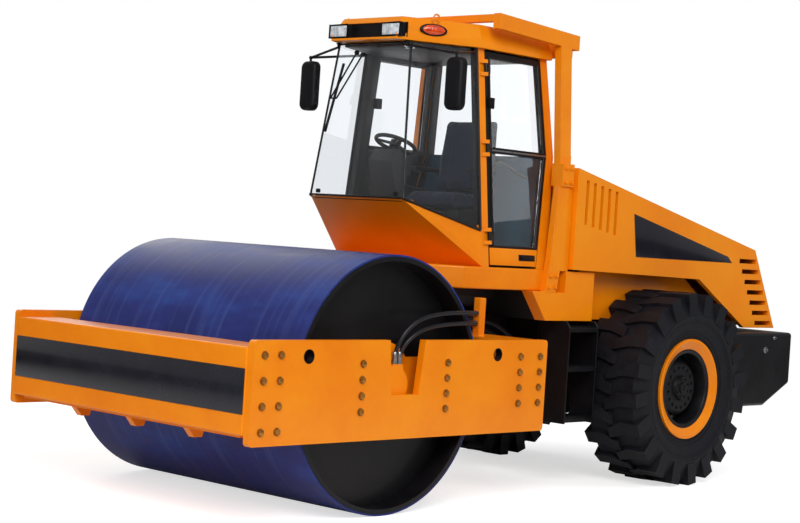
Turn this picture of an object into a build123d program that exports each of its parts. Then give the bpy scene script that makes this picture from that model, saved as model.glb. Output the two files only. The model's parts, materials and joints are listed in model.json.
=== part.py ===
# Single-drum road roller: a front frame with the drum, hinged to a rear frame
# that carries the cab, the engine hood and two tyred wheels.
# Millimetres. +X points forward, +Y to the machine's left, +Z up, floor at z = 0.
import os
from math import cos, hypot, radians, sin, sqrt, tan

from build123d import *

# ---------------------------------------------------------------- driving dimensions
# Where the three axes stand.
drum_x = 1845.0
pivot_x = 245.0
axle_x = -1355.0

# Drum.
drum_r = 800.0
drum_length = 2130.0
drum_shell = 38.0
drum_head_recess = 150.0
drum_head_thickness = 30.0
exciter_r = 150.0
drum_bore_r = 90.0

# Fits and gaps.
shaft_fit = 0.05
soft_gap = 0.3
door_gap = 7.0
door_top_gap = 15.0
lid_gap = 8.0

# Front frame.
plate_thickness = 50.0
drum_side_gap = 41.0
plate_front_x = 3055.0
plate_rear_x = 445.0
plate_top_z = 1085.0
plate_bottom_z = 483.0
plate_corner = 25.0
notch_x = 1801.0
notch_top_width = 314.0
notch_bottom_width = 240.0
notch_bottom_z = 750.0
lift_hole_r = 40.0
lift_hole_front_x = 2630.0
lift_hole_rear_x = 951.0
lift_hole_z = 991.0
beam_front_x = 3065.0
beam_rear_x = 2785.0
beam_top_z = 1044.0
beam_bottom_z = 540.0
rear_beam_front_x = 795.0
rear_beam_bottom_z = 500.0
rear_beam_top_z = 1080.0
scraper_gap = 12.0
scraper_thickness = 16.0
scraper_spacing = 545.0
hose_post_x = 697.0
hose_post_y = 760.0
hose_post_size = 60.0
hose_post_top_z = 1335.0
mount_disc_r = 265.0
mount_disc_thickness = 26.0
mount_arm_length = 870.0
mount_arm_height = 330.0
trunnion_r = drum_bore_r - shaft_fit
motor_r = 125.0
fitting_top_z = 932.0
hose_r = 14.0

# Centre joint and steering cylinders.
lug_r = 110.0
lug_thickness = 50.0
lug_gap = 5.0
joint_bottom_z = 680.0
joint_top_z = 920.0
pivot_pin_r = 40.0
joint_block_y = 120.0
cylinder_z = 800.0
cylinder_rear_x = -305.0
cylinder_rear_y = 260.0
cylinder_front_x = 345.0
cylinder_front_y = 240.0
barrel_r = 45.0
barrel_reach = 400.0
barrel_bore_start = 60.0
rod_r = 25.0
rod_length = 438.0
eye_r = 45.0
eye_width = 50.0
eye_pin_r = 22.0
eye_gap = 0.5
rod_lug_r = 50.0
rod_lug_thickness = 30.0
bracket_plate = 25.0

# Rear frame.
chassis_front_x = 45.0
chassis_wide_x = -355.0
chassis_half_y = 420.0
chassis_neck_y = 150.0
chassis_plate = 40.0
chassis_top_z = 1185.0
chassis_bottom_z = 480.0
axle_arch_z = 950.0
axle_arch_half = 250.0
tail_overhang = 870.0
tail_half_y = 900.0
tail_top_z = 1120.0
tail_bottom_z = 535.0
engine_front_x = -905.0
engine_length = 1200.0
engine_rear_gap = 50.0
engine_half_y = 330.0
engine_top_z = 1700.0
housing_front_x = 144.0
housing_slope_x = -21.0
housing_rear_x = -555.0
housing_half_y = 750.0
housing_top_z = 1535.0
step_front_x = -215.0
step_rear_x = -555.0
step_outer_y = 820.0
step_inner_y = 560.0
step_levels = (1140.0, 860.0, 500.0)
step_plate = 14.0

# Axle and wheels.
wheel_r = 715.0
tread_lug_height = 32.0
tread_lug_count = 20
tread_lug_root_r = 550.0
tyre_width = 500.0
tyre_mid_y = 865.0
bead_r = 322.0
flange_r = 370.0
flange_inset = 50.0
rim_throat_r = 268.0
hub_r = 200.0
axle_tube_r = 110.0
spindle_r = 80.0

# Cab.
floor_z = 1540.0
floor_thickness = 150.0
floor_rear_x = -65.0
floor_half_y = 700.0
sill_y = 690.0
side_lean = 0.1115
belt_z = 2335.0
cab_rear_foot_x = -70.0
cab_rear_belt_x = -179.0
cab_rear_top_x = -130.0
door_rear_foot_x = 42.0
door_rear_belt_x = -105.0
door_rear_top_x = -59.0
door_front_x = 550.0
pillar_width = 70.0
pillar_depth = 60.0
ledge_x = 801.0
ledge_front_x = 1045.0
beam_y = 350.0
beam_width = 80.0
beam_height = 70.0
beam_front_end_x = 760.0
screen_foot_x = 1175.0
screen_foot_y = 440.0
screen_foot_z = 1956.0
screen_top_x = 1075.0
screen_top_y = 340.0
roof_z = 3020.0
roof_height = 160.0
roof_eave = 40.0
panel_thickness = 40.0
corner_glass_z = 1780.0
glass_thickness = 6.0
rear_wall_thickness = 40.0
seat_front_x = 460.0
seat_rear_x = 10.0
seat_width = 490.0
seat_back_depth = 110.0
seat_back_lean = 65.0
seat_base_top_z = 1930.0
cushion_top_z = 2040.0
seat_back_top_z = 2600.0
wheel_centre_x = 815.0
wheel_centre_z = 2345.0
wheel_rim_r = 140.0
wheel_grip_r = 14.0
wheel_tilt = 22.0
column_r = 12.0
lamp_y = 247.0
lamp_width = 100.0
lamp_height = 96.0
lamp_depth = 60.0
recess_depth = 200.0
mirror_x = 1014.0
mirror_y = 693.0
mirror_z = 2735.0
mirror_height = 350.0
mirror_width = 150.0
mirror_depth = 60.0
mirror_rod_r = 9.0
rod_knot = 1.0
door_bottom_z = 1552.0
door_rail = 133.0
door_belt_rail = 30.0
door_thickness = 40.0
door_frame = 38.0
hinge_offset = 18.0
hinge_pin_r = 8.0

# Roll-over frame.
column_foot_z = 1383.0
column_front_foot_x = 0.0
column_rear_foot_x = -123.0
column_front_waist_x = -43.0
column_rear_waist_x = -173.0
column_front_top_x = -80.0
column_rear_top_x = -200.0
column_waist_z = 1652.0
column_top_z = 2130.0
column_inner_y = 700.0
column_outer_y = 750.0
flange_front_x = -100.0
flange_rear_x = -225.0
flange_outer_y = 765.0
flange_top_z = 2290.0
post_front_x = -116.0
post_rear_x = -235.0
post_foot_y = 720.0
post_top_y = 665.0
post_width = 60.0
rail_rear_x = -320.0
rail_front_x = 565.0
rail_height = 105.0
rail_rear_rise = 30.0
rail_front_rise = 80.0
cross_bar_width = 60.0
cross_bar_height = 50.0
cross_beam_width = 80.0
cross_beam_height = 155.0
cowl_rear_x = -251.0
cowl_top_z = 2200.0

# Hood.
hood_front_x = -258.0
hood_top_z = 2270.0
hood_bottom_z = 1550.0
hood_wall = 40.0
hood_half_y = 780.0
hood_hinge_x = -218.0
hood_hinge_drop = 2.0
hood_fall = 497.0
hood_seat_gap = 30.0
hood_tail_inset = 97.0
hood_tail_slope = 350.0
hood_tail_foot = 450.0
hood_arch_reach = 493.0
hood_pin_r = 12.0
hood_lug_r = 25.0
side_slot_count = 5
side_slot_pitch = 87.5
tail_slot_count = 7
tail_slot_pitch = 46.0

# ---------------------------------------------------------------- worked-out values
drum_z = drum_r
plate_inner_y = drum_length / 2 + drum_side_gap
plate_outer_y = plate_inner_y + plate_thickness
head_outer_y = drum_length / 2 - drum_head_recess
head_inner_y = head_outer_y - drum_head_thickness
wheel_z = wheel_r
tyre_inner_y = tyre_mid_y - tyre_width / 2
tyre_outer_y = tyre_mid_y + tyre_width / 2
floor_bottom_z = floor_z - floor_thickness
chassis_rear_x = engine_front_x - engine_length - engine_rear_gap - chassis_plate
tail_x = chassis_rear_x - tail_overhang
hood_tail_x = tail_x + hood_tail_inset
hood_foot_z = tail_top_z + hood_seat_gap
hood_hinge_z = hood_top_z - hood_hinge_drop
pillar_front_x = door_front_x + pillar_width
roof_top_z = roof_z + roof_height
lamp_rear_x = screen_top_x + 50
lamp_bottom_z = roof_z + 16

os.makedirs("parts", exist_ok=True)


def save(name, piece):
    piece.part.label = name
    export_step(piece.part, f"parts/{name}.step")


def save_pair(name, left):
    save(f"{name}_left", left)
    with BuildPart() as right:
        mirror(left.part, about=Plane.XZ)
    save(f"{name}_right", right)


def side_y(z):
    """Outer half width of the cab, whose sides lean in."""
    return sill_y - side_lean * (z - floor_z)


def rear_edge(foot_x, belt_x, top_x, z):
    """Where an upright edge that is kinked at the belt stands at a height."""
    if z < belt_z:
        return belt_x + (foot_x - belt_x) * (belt_z - z) / (belt_z - floor_z)
    return belt_x + (top_x - belt_x) * (z - belt_z) / (roof_z - belt_z)


def trimmed(profile, half_widths, mode=Mode.ADD):
    """Prism across the cab with an (x, z) profile, its ends trimmed to (y, z) points."""
    with BuildPart(mode=Mode.PRIVATE) as piece:
        with BuildSketch(Plane.XZ) as outline:
            Polygon(*profile, align=None)
        extrude(amount=sill_y, both=True)
        with BuildSketch(Plane.YZ.offset(rail_rear_x)) as section:
            Polygon(*half_widths, align=None)
        extrude(amount=screen_foot_x - rail_rear_x, mode=Mode.INTERSECT)
    add(piece.part, mode=mode)


def leaning(profile, depth, thickness):
    """Slab in the cab's left side: its outer face lies a depth inside the side's own face."""
    low = min(z for _, z in profile)
    high = max(z for _, z in profile)
    trimmed(profile, (
        (side_y(low) - depth - thickness, low), (side_y(low) - depth, low),
        (side_y(high) - depth, high), (side_y(high) - depth - thickness, high),
    ))


# ---------------------------------------------------------------- drum
with BuildPart() as drum_shell_tube:
    with BuildSketch(Plane.XZ) as ring:
        with Locations((drum_x, drum_z)):
            Circle(drum_r)
            Circle(drum_r - drum_shell, mode=Mode.SUBTRACT)
    extrude(amount=drum_length / 2, both=True)
save("drum_shell", drum_shell_tube)

# The two end discs, with the exciter's tube between them.
with BuildPart() as drum_heads:
    for y in (head_outer_y, -head_inner_y):
        with BuildSketch(Plane.XZ.offset(-y)) as head:
            with Locations((drum_x, drum_z)):
                Circle(drum_r - drum_shell)
        extrude(amount=drum_head_thickness)
    with BuildSketch(Plane.XZ) as exciter:
        with Locations((drum_x, drum_z)):
            Circle(exciter_r)
    extrude(amount=head_outer_y, both=True)
    with BuildSketch(Plane.XZ) as bore:
        with Locations((drum_x, drum_z)):
            Circle(drum_bore_r)
    extrude(amount=head_outer_y, both=True, mode=Mode.SUBTRACT)
save("drum_heads", drum_heads)

# ---------------------------------------------------------------- front frame
with BuildPart() as side_plate:
    with BuildSketch(Plane.XZ.offset(-plate_outer_y)) as outline:
        Polygon(
            (plate_rear_x, plate_bottom_z), (plate_front_x, plate_bottom_z),
            (plate_front_x, plate_top_z), (notch_x + notch_top_width / 2, plate_top_z),
            (notch_x + notch_bottom_width / 2, notch_bottom_z),
            (notch_x - notch_bottom_width / 2, notch_bottom_z),
            (notch_x - notch_top_width / 2, plate_top_z), (plate_rear_x, plate_top_z),
            align=None,
        )
        corners = outline.vertices().filter_by(
            lambda v: abs(v.X - notch_x) > notch_top_width
        )
        fillet(corners, plate_corner)
        for x in (lift_hole_front_x, lift_hole_rear_x):
            with Locations((x, lift_hole_z)):
                Circle(lift_hole_r, mode=Mode.SUBTRACT)
    extrude(amount=plate_thickness)
save_pair("side_plate", side_plate)

with BuildPart() as front_beam:
    with BuildSketch(Plane.XZ) as section:
        Polygon(
            (beam_rear_x, beam_top_z), (beam_rear_x, beam_top_z - 40),
            (beam_front_x - 200, beam_bottom_z), (beam_front_x, beam_bottom_z),
            (beam_front_x, beam_top_z),
            align=None,
        )
    extrude(amount=plate_inner_y, both=True)
save("front_beam", front_beam)

with BuildPart() as rear_beam:
    with BuildSketch(Plane.XZ) as section:
        Polygon(
            (plate_rear_x, rear_beam_bottom_z), (rear_beam_front_x, rear_beam_bottom_z + 80),
            (rear_beam_front_x, rear_beam_top_z), (plate_rear_x, rear_beam_top_z),
            align=None,
        )
    extrude(amount=plate_inner_y, both=True)
    with Locations((hose_post_x, hose_post_y, rear_beam_top_z)):
        Box(hose_post_size, hose_post_size, hose_post_top_z - rear_beam_top_z,
            align=(Align.CENTER, Align.CENTER, Align.MIN))
save("rear_beam", rear_beam)

# The yoke: two round-ended lugs, one above and one below the joint block.
with BuildPart() as yoke:
    for z in (joint_bottom_z - lug_gap - lug_thickness, joint_top_z + lug_gap):
        with BuildSketch(Plane.XY.offset(z)) as lug:
            with BuildLine():
                Polyline(
                    (pivot_x, -lug_r), (plate_rear_x, -2 * lug_r),
                    (plate_rear_x, 2 * lug_r), (pivot_x, lug_r),
                )
                ThreePointArc((pivot_x, lug_r), (pivot_x - lug_r, 0), (pivot_x, -lug_r))
            make_face()
            with Locations((pivot_x, 0)):
                Circle(pivot_pin_r + shaft_fit, mode=Mode.SUBTRACT)
        extrude(amount=lug_thickness)
    # Under each steering rod's eye.
    rod_lug_z = cylinder_z - eye_width / 2 - eye_gap - rod_lug_thickness
    with BuildSketch(Plane.XY.offset(rod_lug_z)) as rod_lugs:
        for y in (-cylinder_front_y, cylinder_front_y):
            with Locations(((cylinder_front_x + plate_rear_x) / 2, y)):
                Rectangle(plate_rear_x - cylinder_front_x, 2 * rod_lug_r)
            with Locations((cylinder_front_x, y)):
                Circle(rod_lug_r)
    extrude(amount=rod_lug_thickness)
save("yoke", yoke)

with BuildPart() as centre_joint:
    with BuildSketch(Plane.XY.offset(joint_bottom_z)) as block:
        with BuildLine():
            Polyline(
                (pivot_x, -joint_block_y), (chassis_front_x, -joint_block_y),
                (chassis_front_x, joint_block_y), (pivot_x, joint_block_y),
            )
            ThreePointArc(
                (pivot_x, joint_block_y), (pivot_x + joint_block_y, 0), (pivot_x, -joint_block_y)
            )
        make_face()
    extrude(amount=joint_top_z - joint_bottom_z)
    pin_low = joint_bottom_z - lug_gap - lug_thickness - 20
    pin_high = joint_top_z + lug_gap + lug_thickness + 20
    with BuildSketch(Plane.XY.offset(pin_low)) as pin:
        with Locations((pivot_x, 0)):
            Circle(pivot_pin_r)
    extrude(amount=pin_high - pin_low)
save("centre_joint", centre_joint)

# Drum mounts: a bracket on each side plate, and the disc and trunnion it holds.
with BuildPart() as drum_mount:
    disc_y = head_outer_y + 45
    with BuildSketch(Plane.XZ.offset(-disc_y - mount_disc_thickness)) as disc:
        with Locations((drum_x, drum_z)):
            Circle(mount_disc_r)
        with Locations((notch_x, drum_z)):
            Rectangle(mount_arm_length, mount_arm_height)
    extrude(amount=mount_disc_thickness)
    with BuildSketch(Plane.XZ.offset(-plate_inner_y)) as blocks:
        for x in (notch_x - mount_arm_length / 2 + 60, notch_x + mount_arm_length / 2 - 60):
            for z in (drum_z - 90, drum_z + 90):
                with Locations((x, z)):
                    Rectangle(90, 100)
    extrude(amount=plate_inner_y - disc_y - mount_disc_thickness)
    with BuildSketch(Plane.XZ.offset(-disc_y)) as trunnion:
        with Locations((drum_x, drum_z)):
            Circle(trunnion_r)
    extrude(amount=disc_y - head_inner_y)
    with BuildSketch(Plane.XZ.offset(-plate_inner_y + 12)) as motor:
        with Locations((drum_x, drum_z)):
            Circle(motor_r)
    extrude(amount=plate_inner_y - 12 - disc_y - mount_disc_thickness)
    with Locations((drum_x - 40, plate_inner_y - 36, drum_z)):
        Box(84, 36, fitting_top_z - drum_z, align=(Align.CENTER, Align.CENTER, Align.MIN))
save_pair("drum_mount", drum_mount)

# Scrapers: a blade close to the drum on each side, with brackets on its beam.
with BuildPart() as front_scraper:
    tip_angle = 24.0
    tip_x = drum_x + (drum_r + scraper_gap) * cos(radians(tip_angle))
    tip_z = drum_z - (drum_r + scraper_gap) * sin(radians(tip_angle))
    with BuildSketch(Plane.XZ) as blade:
        Polygon(
            (tip_x, tip_z), (beam_front_x - 180, beam_bottom_z - scraper_thickness),
            (beam_front_x - 40, beam_bottom_z - scraper_thickness), (beam_front_x - 40, beam_bottom_z),
            (beam_front_x - 190, beam_bottom_z), (tip_x, tip_z + scraper_thickness),
            align=None,
        )
    extrude(amount=drum_length / 2 - 20, both=True)
    for y in (-scraper_spacing, 0, scraper_spacing):
        with BuildSketch(Plane.XZ.offset(-y)) as bracket:
            Polygon(
                (beam_front_x - 190, beam_bottom_z - scraper_thickness),
                (beam_front_x - 60, beam_bottom_z - scraper_thickness),
                (beam_front_x - 110, beam_bottom_z - 75), (beam_front_x - 170, beam_bottom_z - 75),
                align=None,
            )
        extrude(amount=25, both=True)
save("front_scraper", front_scraper)

with BuildPart() as rear_scraper:
    tip_x = drum_x - (drum_r + scraper_gap) * cos(radians(tip_angle))
    low_z = rear_beam_bottom_z + 80
    with BuildSketch(Plane.XZ) as blade:
        Polygon(
            (tip_x, tip_z), (rear_beam_front_x, low_z - 40), (rear_beam_front_x, low_z + 60),
            (rear_beam_front_x + 30, low_z + 60), (rear_beam_front_x + 30, low_z),
            (tip_x, tip_z + scraper_thickness),
            align=None,
        )
    extrude(amount=drum_length / 2 - 20, both=True)
save("rear_scraper", rear_scraper)

# ---------------------------------------------------------------- steering cylinders
cylinder_dx = cylinder_front_x - cylinder_rear_x
cylinder_dy = cylinder_front_y - cylinder_rear_y
cylinder_length = hypot(cylinder_dx, cylinder_dy)
cylinder_way = Vector(cylinder_dx, cylinder_dy, 0).normalized()
rear_eye = Vector(cylinder_rear_x, cylinder_rear_y, cylinder_z)


def along(distance):
    """Plane across the left cylinder, a distance ahead of its rear pin."""
    return Plane(origin=rear_eye + cylinder_way * distance, z_dir=cylinder_way)


with BuildPart() as steer_barrel:
    with BuildSketch(Plane.XY.offset(cylinder_z - eye_width / 2)) as eye:
        with Locations((cylinder_rear_x, cylinder_rear_y)):
            Circle(eye_r)
    extrude(amount=eye_width)
    with BuildSketch(along(0)) as tube:
        Circle(barrel_r)
    extrude(amount=barrel_reach)
    with BuildSketch(Plane.XY.offset(cylinder_z - barrel_r)) as trim:
        with Locations((cylinder_rear_x, cylinder_rear_y)):
            Circle(eye_pin_r + shaft_fit)
    extrude(amount=2 * barrel_r, mode=Mode.SUBTRACT)
    with BuildSketch(along(barrel_bore_start)) as bore:
        Circle(rod_r + shaft_fit)
    extrude(amount=barrel_reach, mode=Mode.SUBTRACT)
save_pair("steer_barrel", steer_barrel)

with BuildPart() as steer_rod:
    with BuildSketch(along(cylinder_length - rod_length)) as bar:
        Circle(rod_r)
    extrude(amount=rod_length)
    with BuildSketch(Plane.XY.offset(cylinder_z - eye_width / 2)) as eye:
        with Locations((cylinder_front_x, cylinder_front_y)):
            Circle(eye_r)
    extrude(amount=eye_width)
    with BuildSketch(Plane.XY.offset(cylinder_z - eye_width / 2)) as hole:
        with Locations((cylinder_front_x, cylinder_front_y)):
            Circle(eye_pin_r)
    extrude(amount=eye_width, mode=Mode.SUBTRACT)
    with BuildSketch(Plane.XY.offset(cylinder_z - eye_width / 2)) as pin:
        with Locations((cylinder_front_x, cylinder_front_y)):
            Circle(eye_pin_r)
    extrude(amount=eye_width + 20)
save_pair("steer_rod", steer_rod)

# ---------------------------------------------------------------- rear frame
arch_front_x = axle_x + axle_arch_half
arch_rear_x = axle_x - axle_arch_half
with BuildPart() as rear_chassis:
    with BuildSketch(Plane.XZ) as outline:
        Polygon(
            (chassis_wide_x, chassis_bottom_z), (chassis_wide_x, chassis_top_z),
            (chassis_rear_x, chassis_top_z), (chassis_rear_x, chassis_bottom_z + 140),
            (arch_rear_x - 160, chassis_bottom_z + 140), (arch_rear_x, axle_arch_z),
            (arch_front_x, axle_arch_z), (arch_front_x + 160, chassis_bottom_z),
            align=None,
        )
    extrude(amount=chassis_half_y, both=True)
    with BuildSketch(Plane.XZ) as inside:
        Polygon(
            (chassis_wide_x - chassis_plate, chassis_bottom_z + chassis_plate),
            (chassis_wide_x - chassis_plate, chassis_top_z), (chassis_rear_x + chassis_plate, chassis_top_z),
            (chassis_rear_x + chassis_plate, chassis_bottom_z + 140 + chassis_plate),
            (arch_rear_x - 180, chassis_bottom_z + 140 + chassis_plate),
            (arch_rear_x - 20, axle_arch_z + chassis_plate), (arch_front_x + 20, axle_arch_z + chassis_plate),
            (arch_front_x + 180, chassis_bottom_z + chassis_plate),
            align=None,
        )
    extrude(amount=chassis_half_y - chassis_plate, both=True, mode=Mode.SUBTRACT)
    # Brackets and pins for the steering barrels.
    bracket_low_z = cylinder_z - barrel_r - lug_gap - bracket_plate
    for y in (-cylinder_rear_y, cylinder_rear_y):
        for z in (bracket_low_z, cylinder_z + barrel_r + lug_gap):
            with Locations((chassis_wide_x, y, z)):
                Box(cylinder_rear_x - chassis_wide_x + 40, 110, bracket_plate,
                    align=(Align.MIN, Align.CENTER, Align.MIN))
        with BuildSketch(Plane.XY.offset(bracket_low_z)) as pin:
            with Locations((cylinder_rear_x, y)):
                Circle(eye_pin_r)
        extrude(amount=2 * (barrel_r + lug_gap + bracket_plate))
save("rear_chassis", rear_chassis)

with BuildPart() as chassis_neck:
    with BuildSketch(Plane.XZ) as outline:
        Polygon(
            (chassis_front_x, chassis_bottom_z + 60), (chassis_front_x, chassis_top_z),
            (chassis_wide_x, chassis_top_z), (chassis_wide_x, chassis_bottom_z),
            (chassis_front_x - 120, chassis_bottom_z),
            align=None,
        )
    extrude(amount=chassis_neck_y, both=True)
save("chassis_neck", chassis_neck)

with BuildPart() as counterweight:
    with BuildSketch(Plane.XZ) as outline:
        Polygon(
            (chassis_rear_x, tail_top_z), (tail_x, tail_top_z), (tail_x, tail_bottom_z + 175),
            (tail_x + 370, tail_bottom_z), (chassis_rear_x - 170, tail_bottom_z),
            (chassis_rear_x, tail_bottom_z + 120),
            align=None,
        )
    extrude(amount=tail_half_y, both=True)
save("counterweight", counterweight)

with BuildPart() as engine_block:
    with Locations((engine_front_x, 0, axle_arch_z + chassis_plate)):
        Box(
            engine_length, 2 * engine_half_y, engine_top_z - axle_arch_z - chassis_plate,
            align=(Align.MAX, Align.CENTER, Align.MIN),
        )
    bottom_edges = engine_block.edges().group_by(Axis.Z)[-1]
    chamfer(bottom_edges, 60)
save("engine_block", engine_block)

with BuildPart() as rear_axle:
    with BuildSketch(Plane.XZ) as tube:
        with Locations((axle_x, wheel_z)):
            Circle(axle_tube_r)
    extrude(amount=tyre_inner_y - 10, both=True)
    with BuildSketch(Plane.XZ) as spindle:
        with Locations((axle_x, wheel_z)):
            Circle(spindle_r)
    extrude(amount=tyre_mid_y, both=True)
    with BuildSketch(Plane.XZ) as bulge:
        with Locations((axle_x, wheel_z)):
            Circle(190)
    extrude(amount=150, both=True)
    for y in (-1, 1):
        with BuildSketch(Plane.XZ.offset(y * (chassis_half_y - 60))) as pad:
            with Locations((axle_x, (wheel_z + axle_arch_z) / 2)):
                Rectangle(220, axle_arch_z - wheel_z)
        extrude(amount=60, both=True)
save("rear_axle", rear_axle)

with BuildPart() as tank_housing:
    with BuildSketch(Plane.XZ) as outline:
        Polygon(
            (housing_front_x, floor_bottom_z), (housing_slope_x, chassis_top_z),
            (housing_rear_x, chassis_top_z), (housing_rear_x, housing_top_z),
            (floor_rear_x, housing_top_z), (floor_rear_x, floor_bottom_z),
            align=None,
        )
    extrude(amount=housing_half_y, both=True)
    for side in (-1, 1):
        with Locations((column_front_foot_x, side * column_inner_y, column_foot_z)):
            Box(column_front_foot_x - flange_rear_x, 2 * (housing_half_y - column_inner_y), housing_top_z,
                align=(Align.MAX, Align.CENTER, Align.MIN), mode=Mode.SUBTRACT)
save("tank_housing", tank_housing)

with BuildPart() as steps:
    for x in (step_front_x, step_rear_x + step_plate):
        with BuildSketch(Plane.YZ.offset(x)) as cheek:
            Polygon(
                (step_inner_y, chassis_top_z), (step_outer_y - 30, chassis_top_z),
                (step_outer_y, step_levels[0]), (step_outer_y, step_levels[2] - 40),
                (step_inner_y + 60, step_levels[2] - 40), (step_inner_y, step_levels[1] - 60),
                align=None,
            )
        extrude(amount=-step_plate)
    for z in step_levels:
        with BuildSketch(Plane.XY.offset(z)) as tread:
            with Locations(((step_front_x + step_rear_x) / 2, (step_outer_y + step_inner_y + 60) / 2)):
                Rectangle(step_front_x - step_rear_x, step_outer_y - step_inner_y - 60)
        extrude(amount=-30)
save_pair("steps", steps)

# ---------------------------------------------------------------- wheels
# Revolved profiles are (distance along the axle, radius) in this plane.
wheel_plane = Plane(origin=(axle_x, 0, wheel_z), x_dir=(0, 1, 0), z_dir=(1, 0, 0))
wheel_axis = Axis((axle_x, 0, wheel_z), (0, 1, 0))
bead_inner_y = tyre_inner_y + flange_inset
bead_outer_y = tyre_outer_y - flange_inset

carcass_r = wheel_r - tread_lug_height
# Facetted rings of the carcass: distance along the axle from the tyre's middle, radius.
carcass_rings = (
    (bead_inner_y - tyre_mid_y, flange_r + 8), (-tyre_width / 2, tread_lug_root_r - 10),
    (50 - tyre_width / 2, carcass_r), (tyre_width / 2 - 50, carcass_r),
    (tyre_width / 2, tread_lug_root_r - 10), (bead_outer_y - tyre_mid_y, flange_r + 8),
)
# Outline of a tread lug: distance from the tyre's middle towards its side, distance round the tread.
# The lugs of the two sides alternate, and each runs from a tip at the middle to a square shoulder.
lug_edge = 88.0
lug_outline = (
    (-30, -52), (110, -12), (tyre_width / 2, -12), (tyre_width / 2, lug_edge), (90, lug_edge), (-30, 30),
)
lug_top_r = sqrt(wheel_r ** 2 - lug_edge ** 2)

with BuildPart() as tyre:
    for out, radius in carcass_rings:
        with BuildSketch(Plane.XZ.offset(-tyre_mid_y - out)) as ring:
            with Locations((axle_x, wheel_z)):
                RegularPolygon(radius, 2 * tread_lug_count)
    loft(ruled=True)
    for i in range(2 * tread_lug_count):
        side = 1 if i % 2 else -1
        angle = radians(i * 180 / tread_lug_count)
        spoke = Plane(
            origin=(axle_x, tyre_mid_y, wheel_z), x_dir=(0, side, 0), z_dir=(cos(angle), 0, sin(angle))
        )
        with BuildSketch(spoke.offset(tread_lug_root_r)) as footprint:
            Polygon(*[(out, side * round_way) for out, round_way in lug_outline], align=None)
        extrude(amount=lug_top_r - tread_lug_root_r)
    with BuildSketch(Plane.XZ.offset(-bead_inner_y)) as seat:
        with Locations((axle_x, wheel_z)):
            RegularPolygon(bead_r, 2 * tread_lug_count, major_radius=False)
    extrude(amount=bead_inner_y - bead_outer_y, mode=Mode.SUBTRACT)
save_pair("tyre", tyre)

disc_inner_y = tyre_mid_y - 5
disc_outer_y = disc_inner_y + 25
with BuildPart() as rim:
    with BuildSketch(wheel_plane) as half:
        Polygon(
            (bead_inner_y - 18, flange_r), (bead_inner_y, flange_r), (bead_inner_y, bead_r),
            (bead_outer_y, bead_r), (bead_outer_y, flange_r), (bead_outer_y + 18, flange_r),
            (bead_outer_y + 18, flange_r - 20), (bead_outer_y - 7, flange_r - 70),
            (bead_outer_y - 20, rim_throat_r), (disc_outer_y, rim_throat_r),
            (disc_outer_y, hub_r), (disc_inner_y, hub_r), (disc_inner_y, bead_r - 32),
            (bead_inner_y - 5, bead_r - 32), (bead_inner_y - 18, bead_r + 8),
            align=None,
        )
    revolve(axis=wheel_axis)
save_pair("rim", rim)

hub_inner_y = tyre_inner_y + 75
with BuildPart() as hub:
    with BuildSketch(wheel_plane) as half:
        Polygon(
            (hub_inner_y, spindle_r + shaft_fit), (hub_inner_y, 150), (disc_inner_y, 150),
            (disc_inner_y, hub_r), (bead_outer_y - 80, hub_r), (bead_outer_y - 60, hub_r - 25),
            (bead_outer_y - 60, 95), (bead_outer_y - 35, 85), (bead_outer_y - 35, 0),
            (tyre_mid_y + lug_gap, 0), (tyre_mid_y + lug_gap, spindle_r + shaft_fit),
            align=None,
        )
    revolve(axis=wheel_axis)
save_pair("hub", hub)

# ---------------------------------------------------------------- cab
with BuildPart() as cab_floor:
    with BuildSketch(Plane.XY.offset(floor_bottom_z)) as plan:
        Polygon(
            (floor_rear_x, -floor_half_y), (ledge_x, -floor_half_y), (ledge_front_x, -screen_foot_y),
            (ledge_front_x, screen_foot_y), (ledge_x, floor_half_y), (floor_rear_x, floor_half_y),
            align=None,
        )
    extrude(amount=floor_thickness)
    # Two beams reach forward from the housing over the centre joint.
    housing_slope = (housing_front_x - housing_slope_x) / (floor_bottom_z - chassis_top_z)
    for y in (-beam_y, beam_y):
        with BuildSketch(Plane.XZ.offset(-y)) as side:
            Polygon(
                (housing_front_x, floor_bottom_z),
                (housing_front_x - beam_height * housing_slope, floor_bottom_z - beam_height),
                (beam_front_end_x, floor_bottom_z - beam_height + 20), (beam_front_end_x, floor_bottom_z),
                align=None,
            )
        extrude(amount=beam_width / 2, both=True)
save("cab_floor", cab_floor)

# Hinge line: parallel to the door's front edge, just outside the door's skin.
hinge_way = Vector(0, -side_lean, 1).normalized()
hinge_seat = hinge_offset / hypot(1, side_lean)
knuckle_r = hinge_pin_r + 6
hinge_foot = Vector(door_front_x + 5, side_y(floor_z) + hinge_offset, floor_z)


def on_hinge(height):
    """Plane across the hinge line at a height above the floor."""
    return Plane(origin=hinge_foot + hinge_way * height, x_dir=(1, 0, 0), z_dir=hinge_way)


door_top_z = roof_z - door_top_gap
hinge_heights = (180, 780, 1330)
knuckle_height = 60
ear_height = 25


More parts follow.
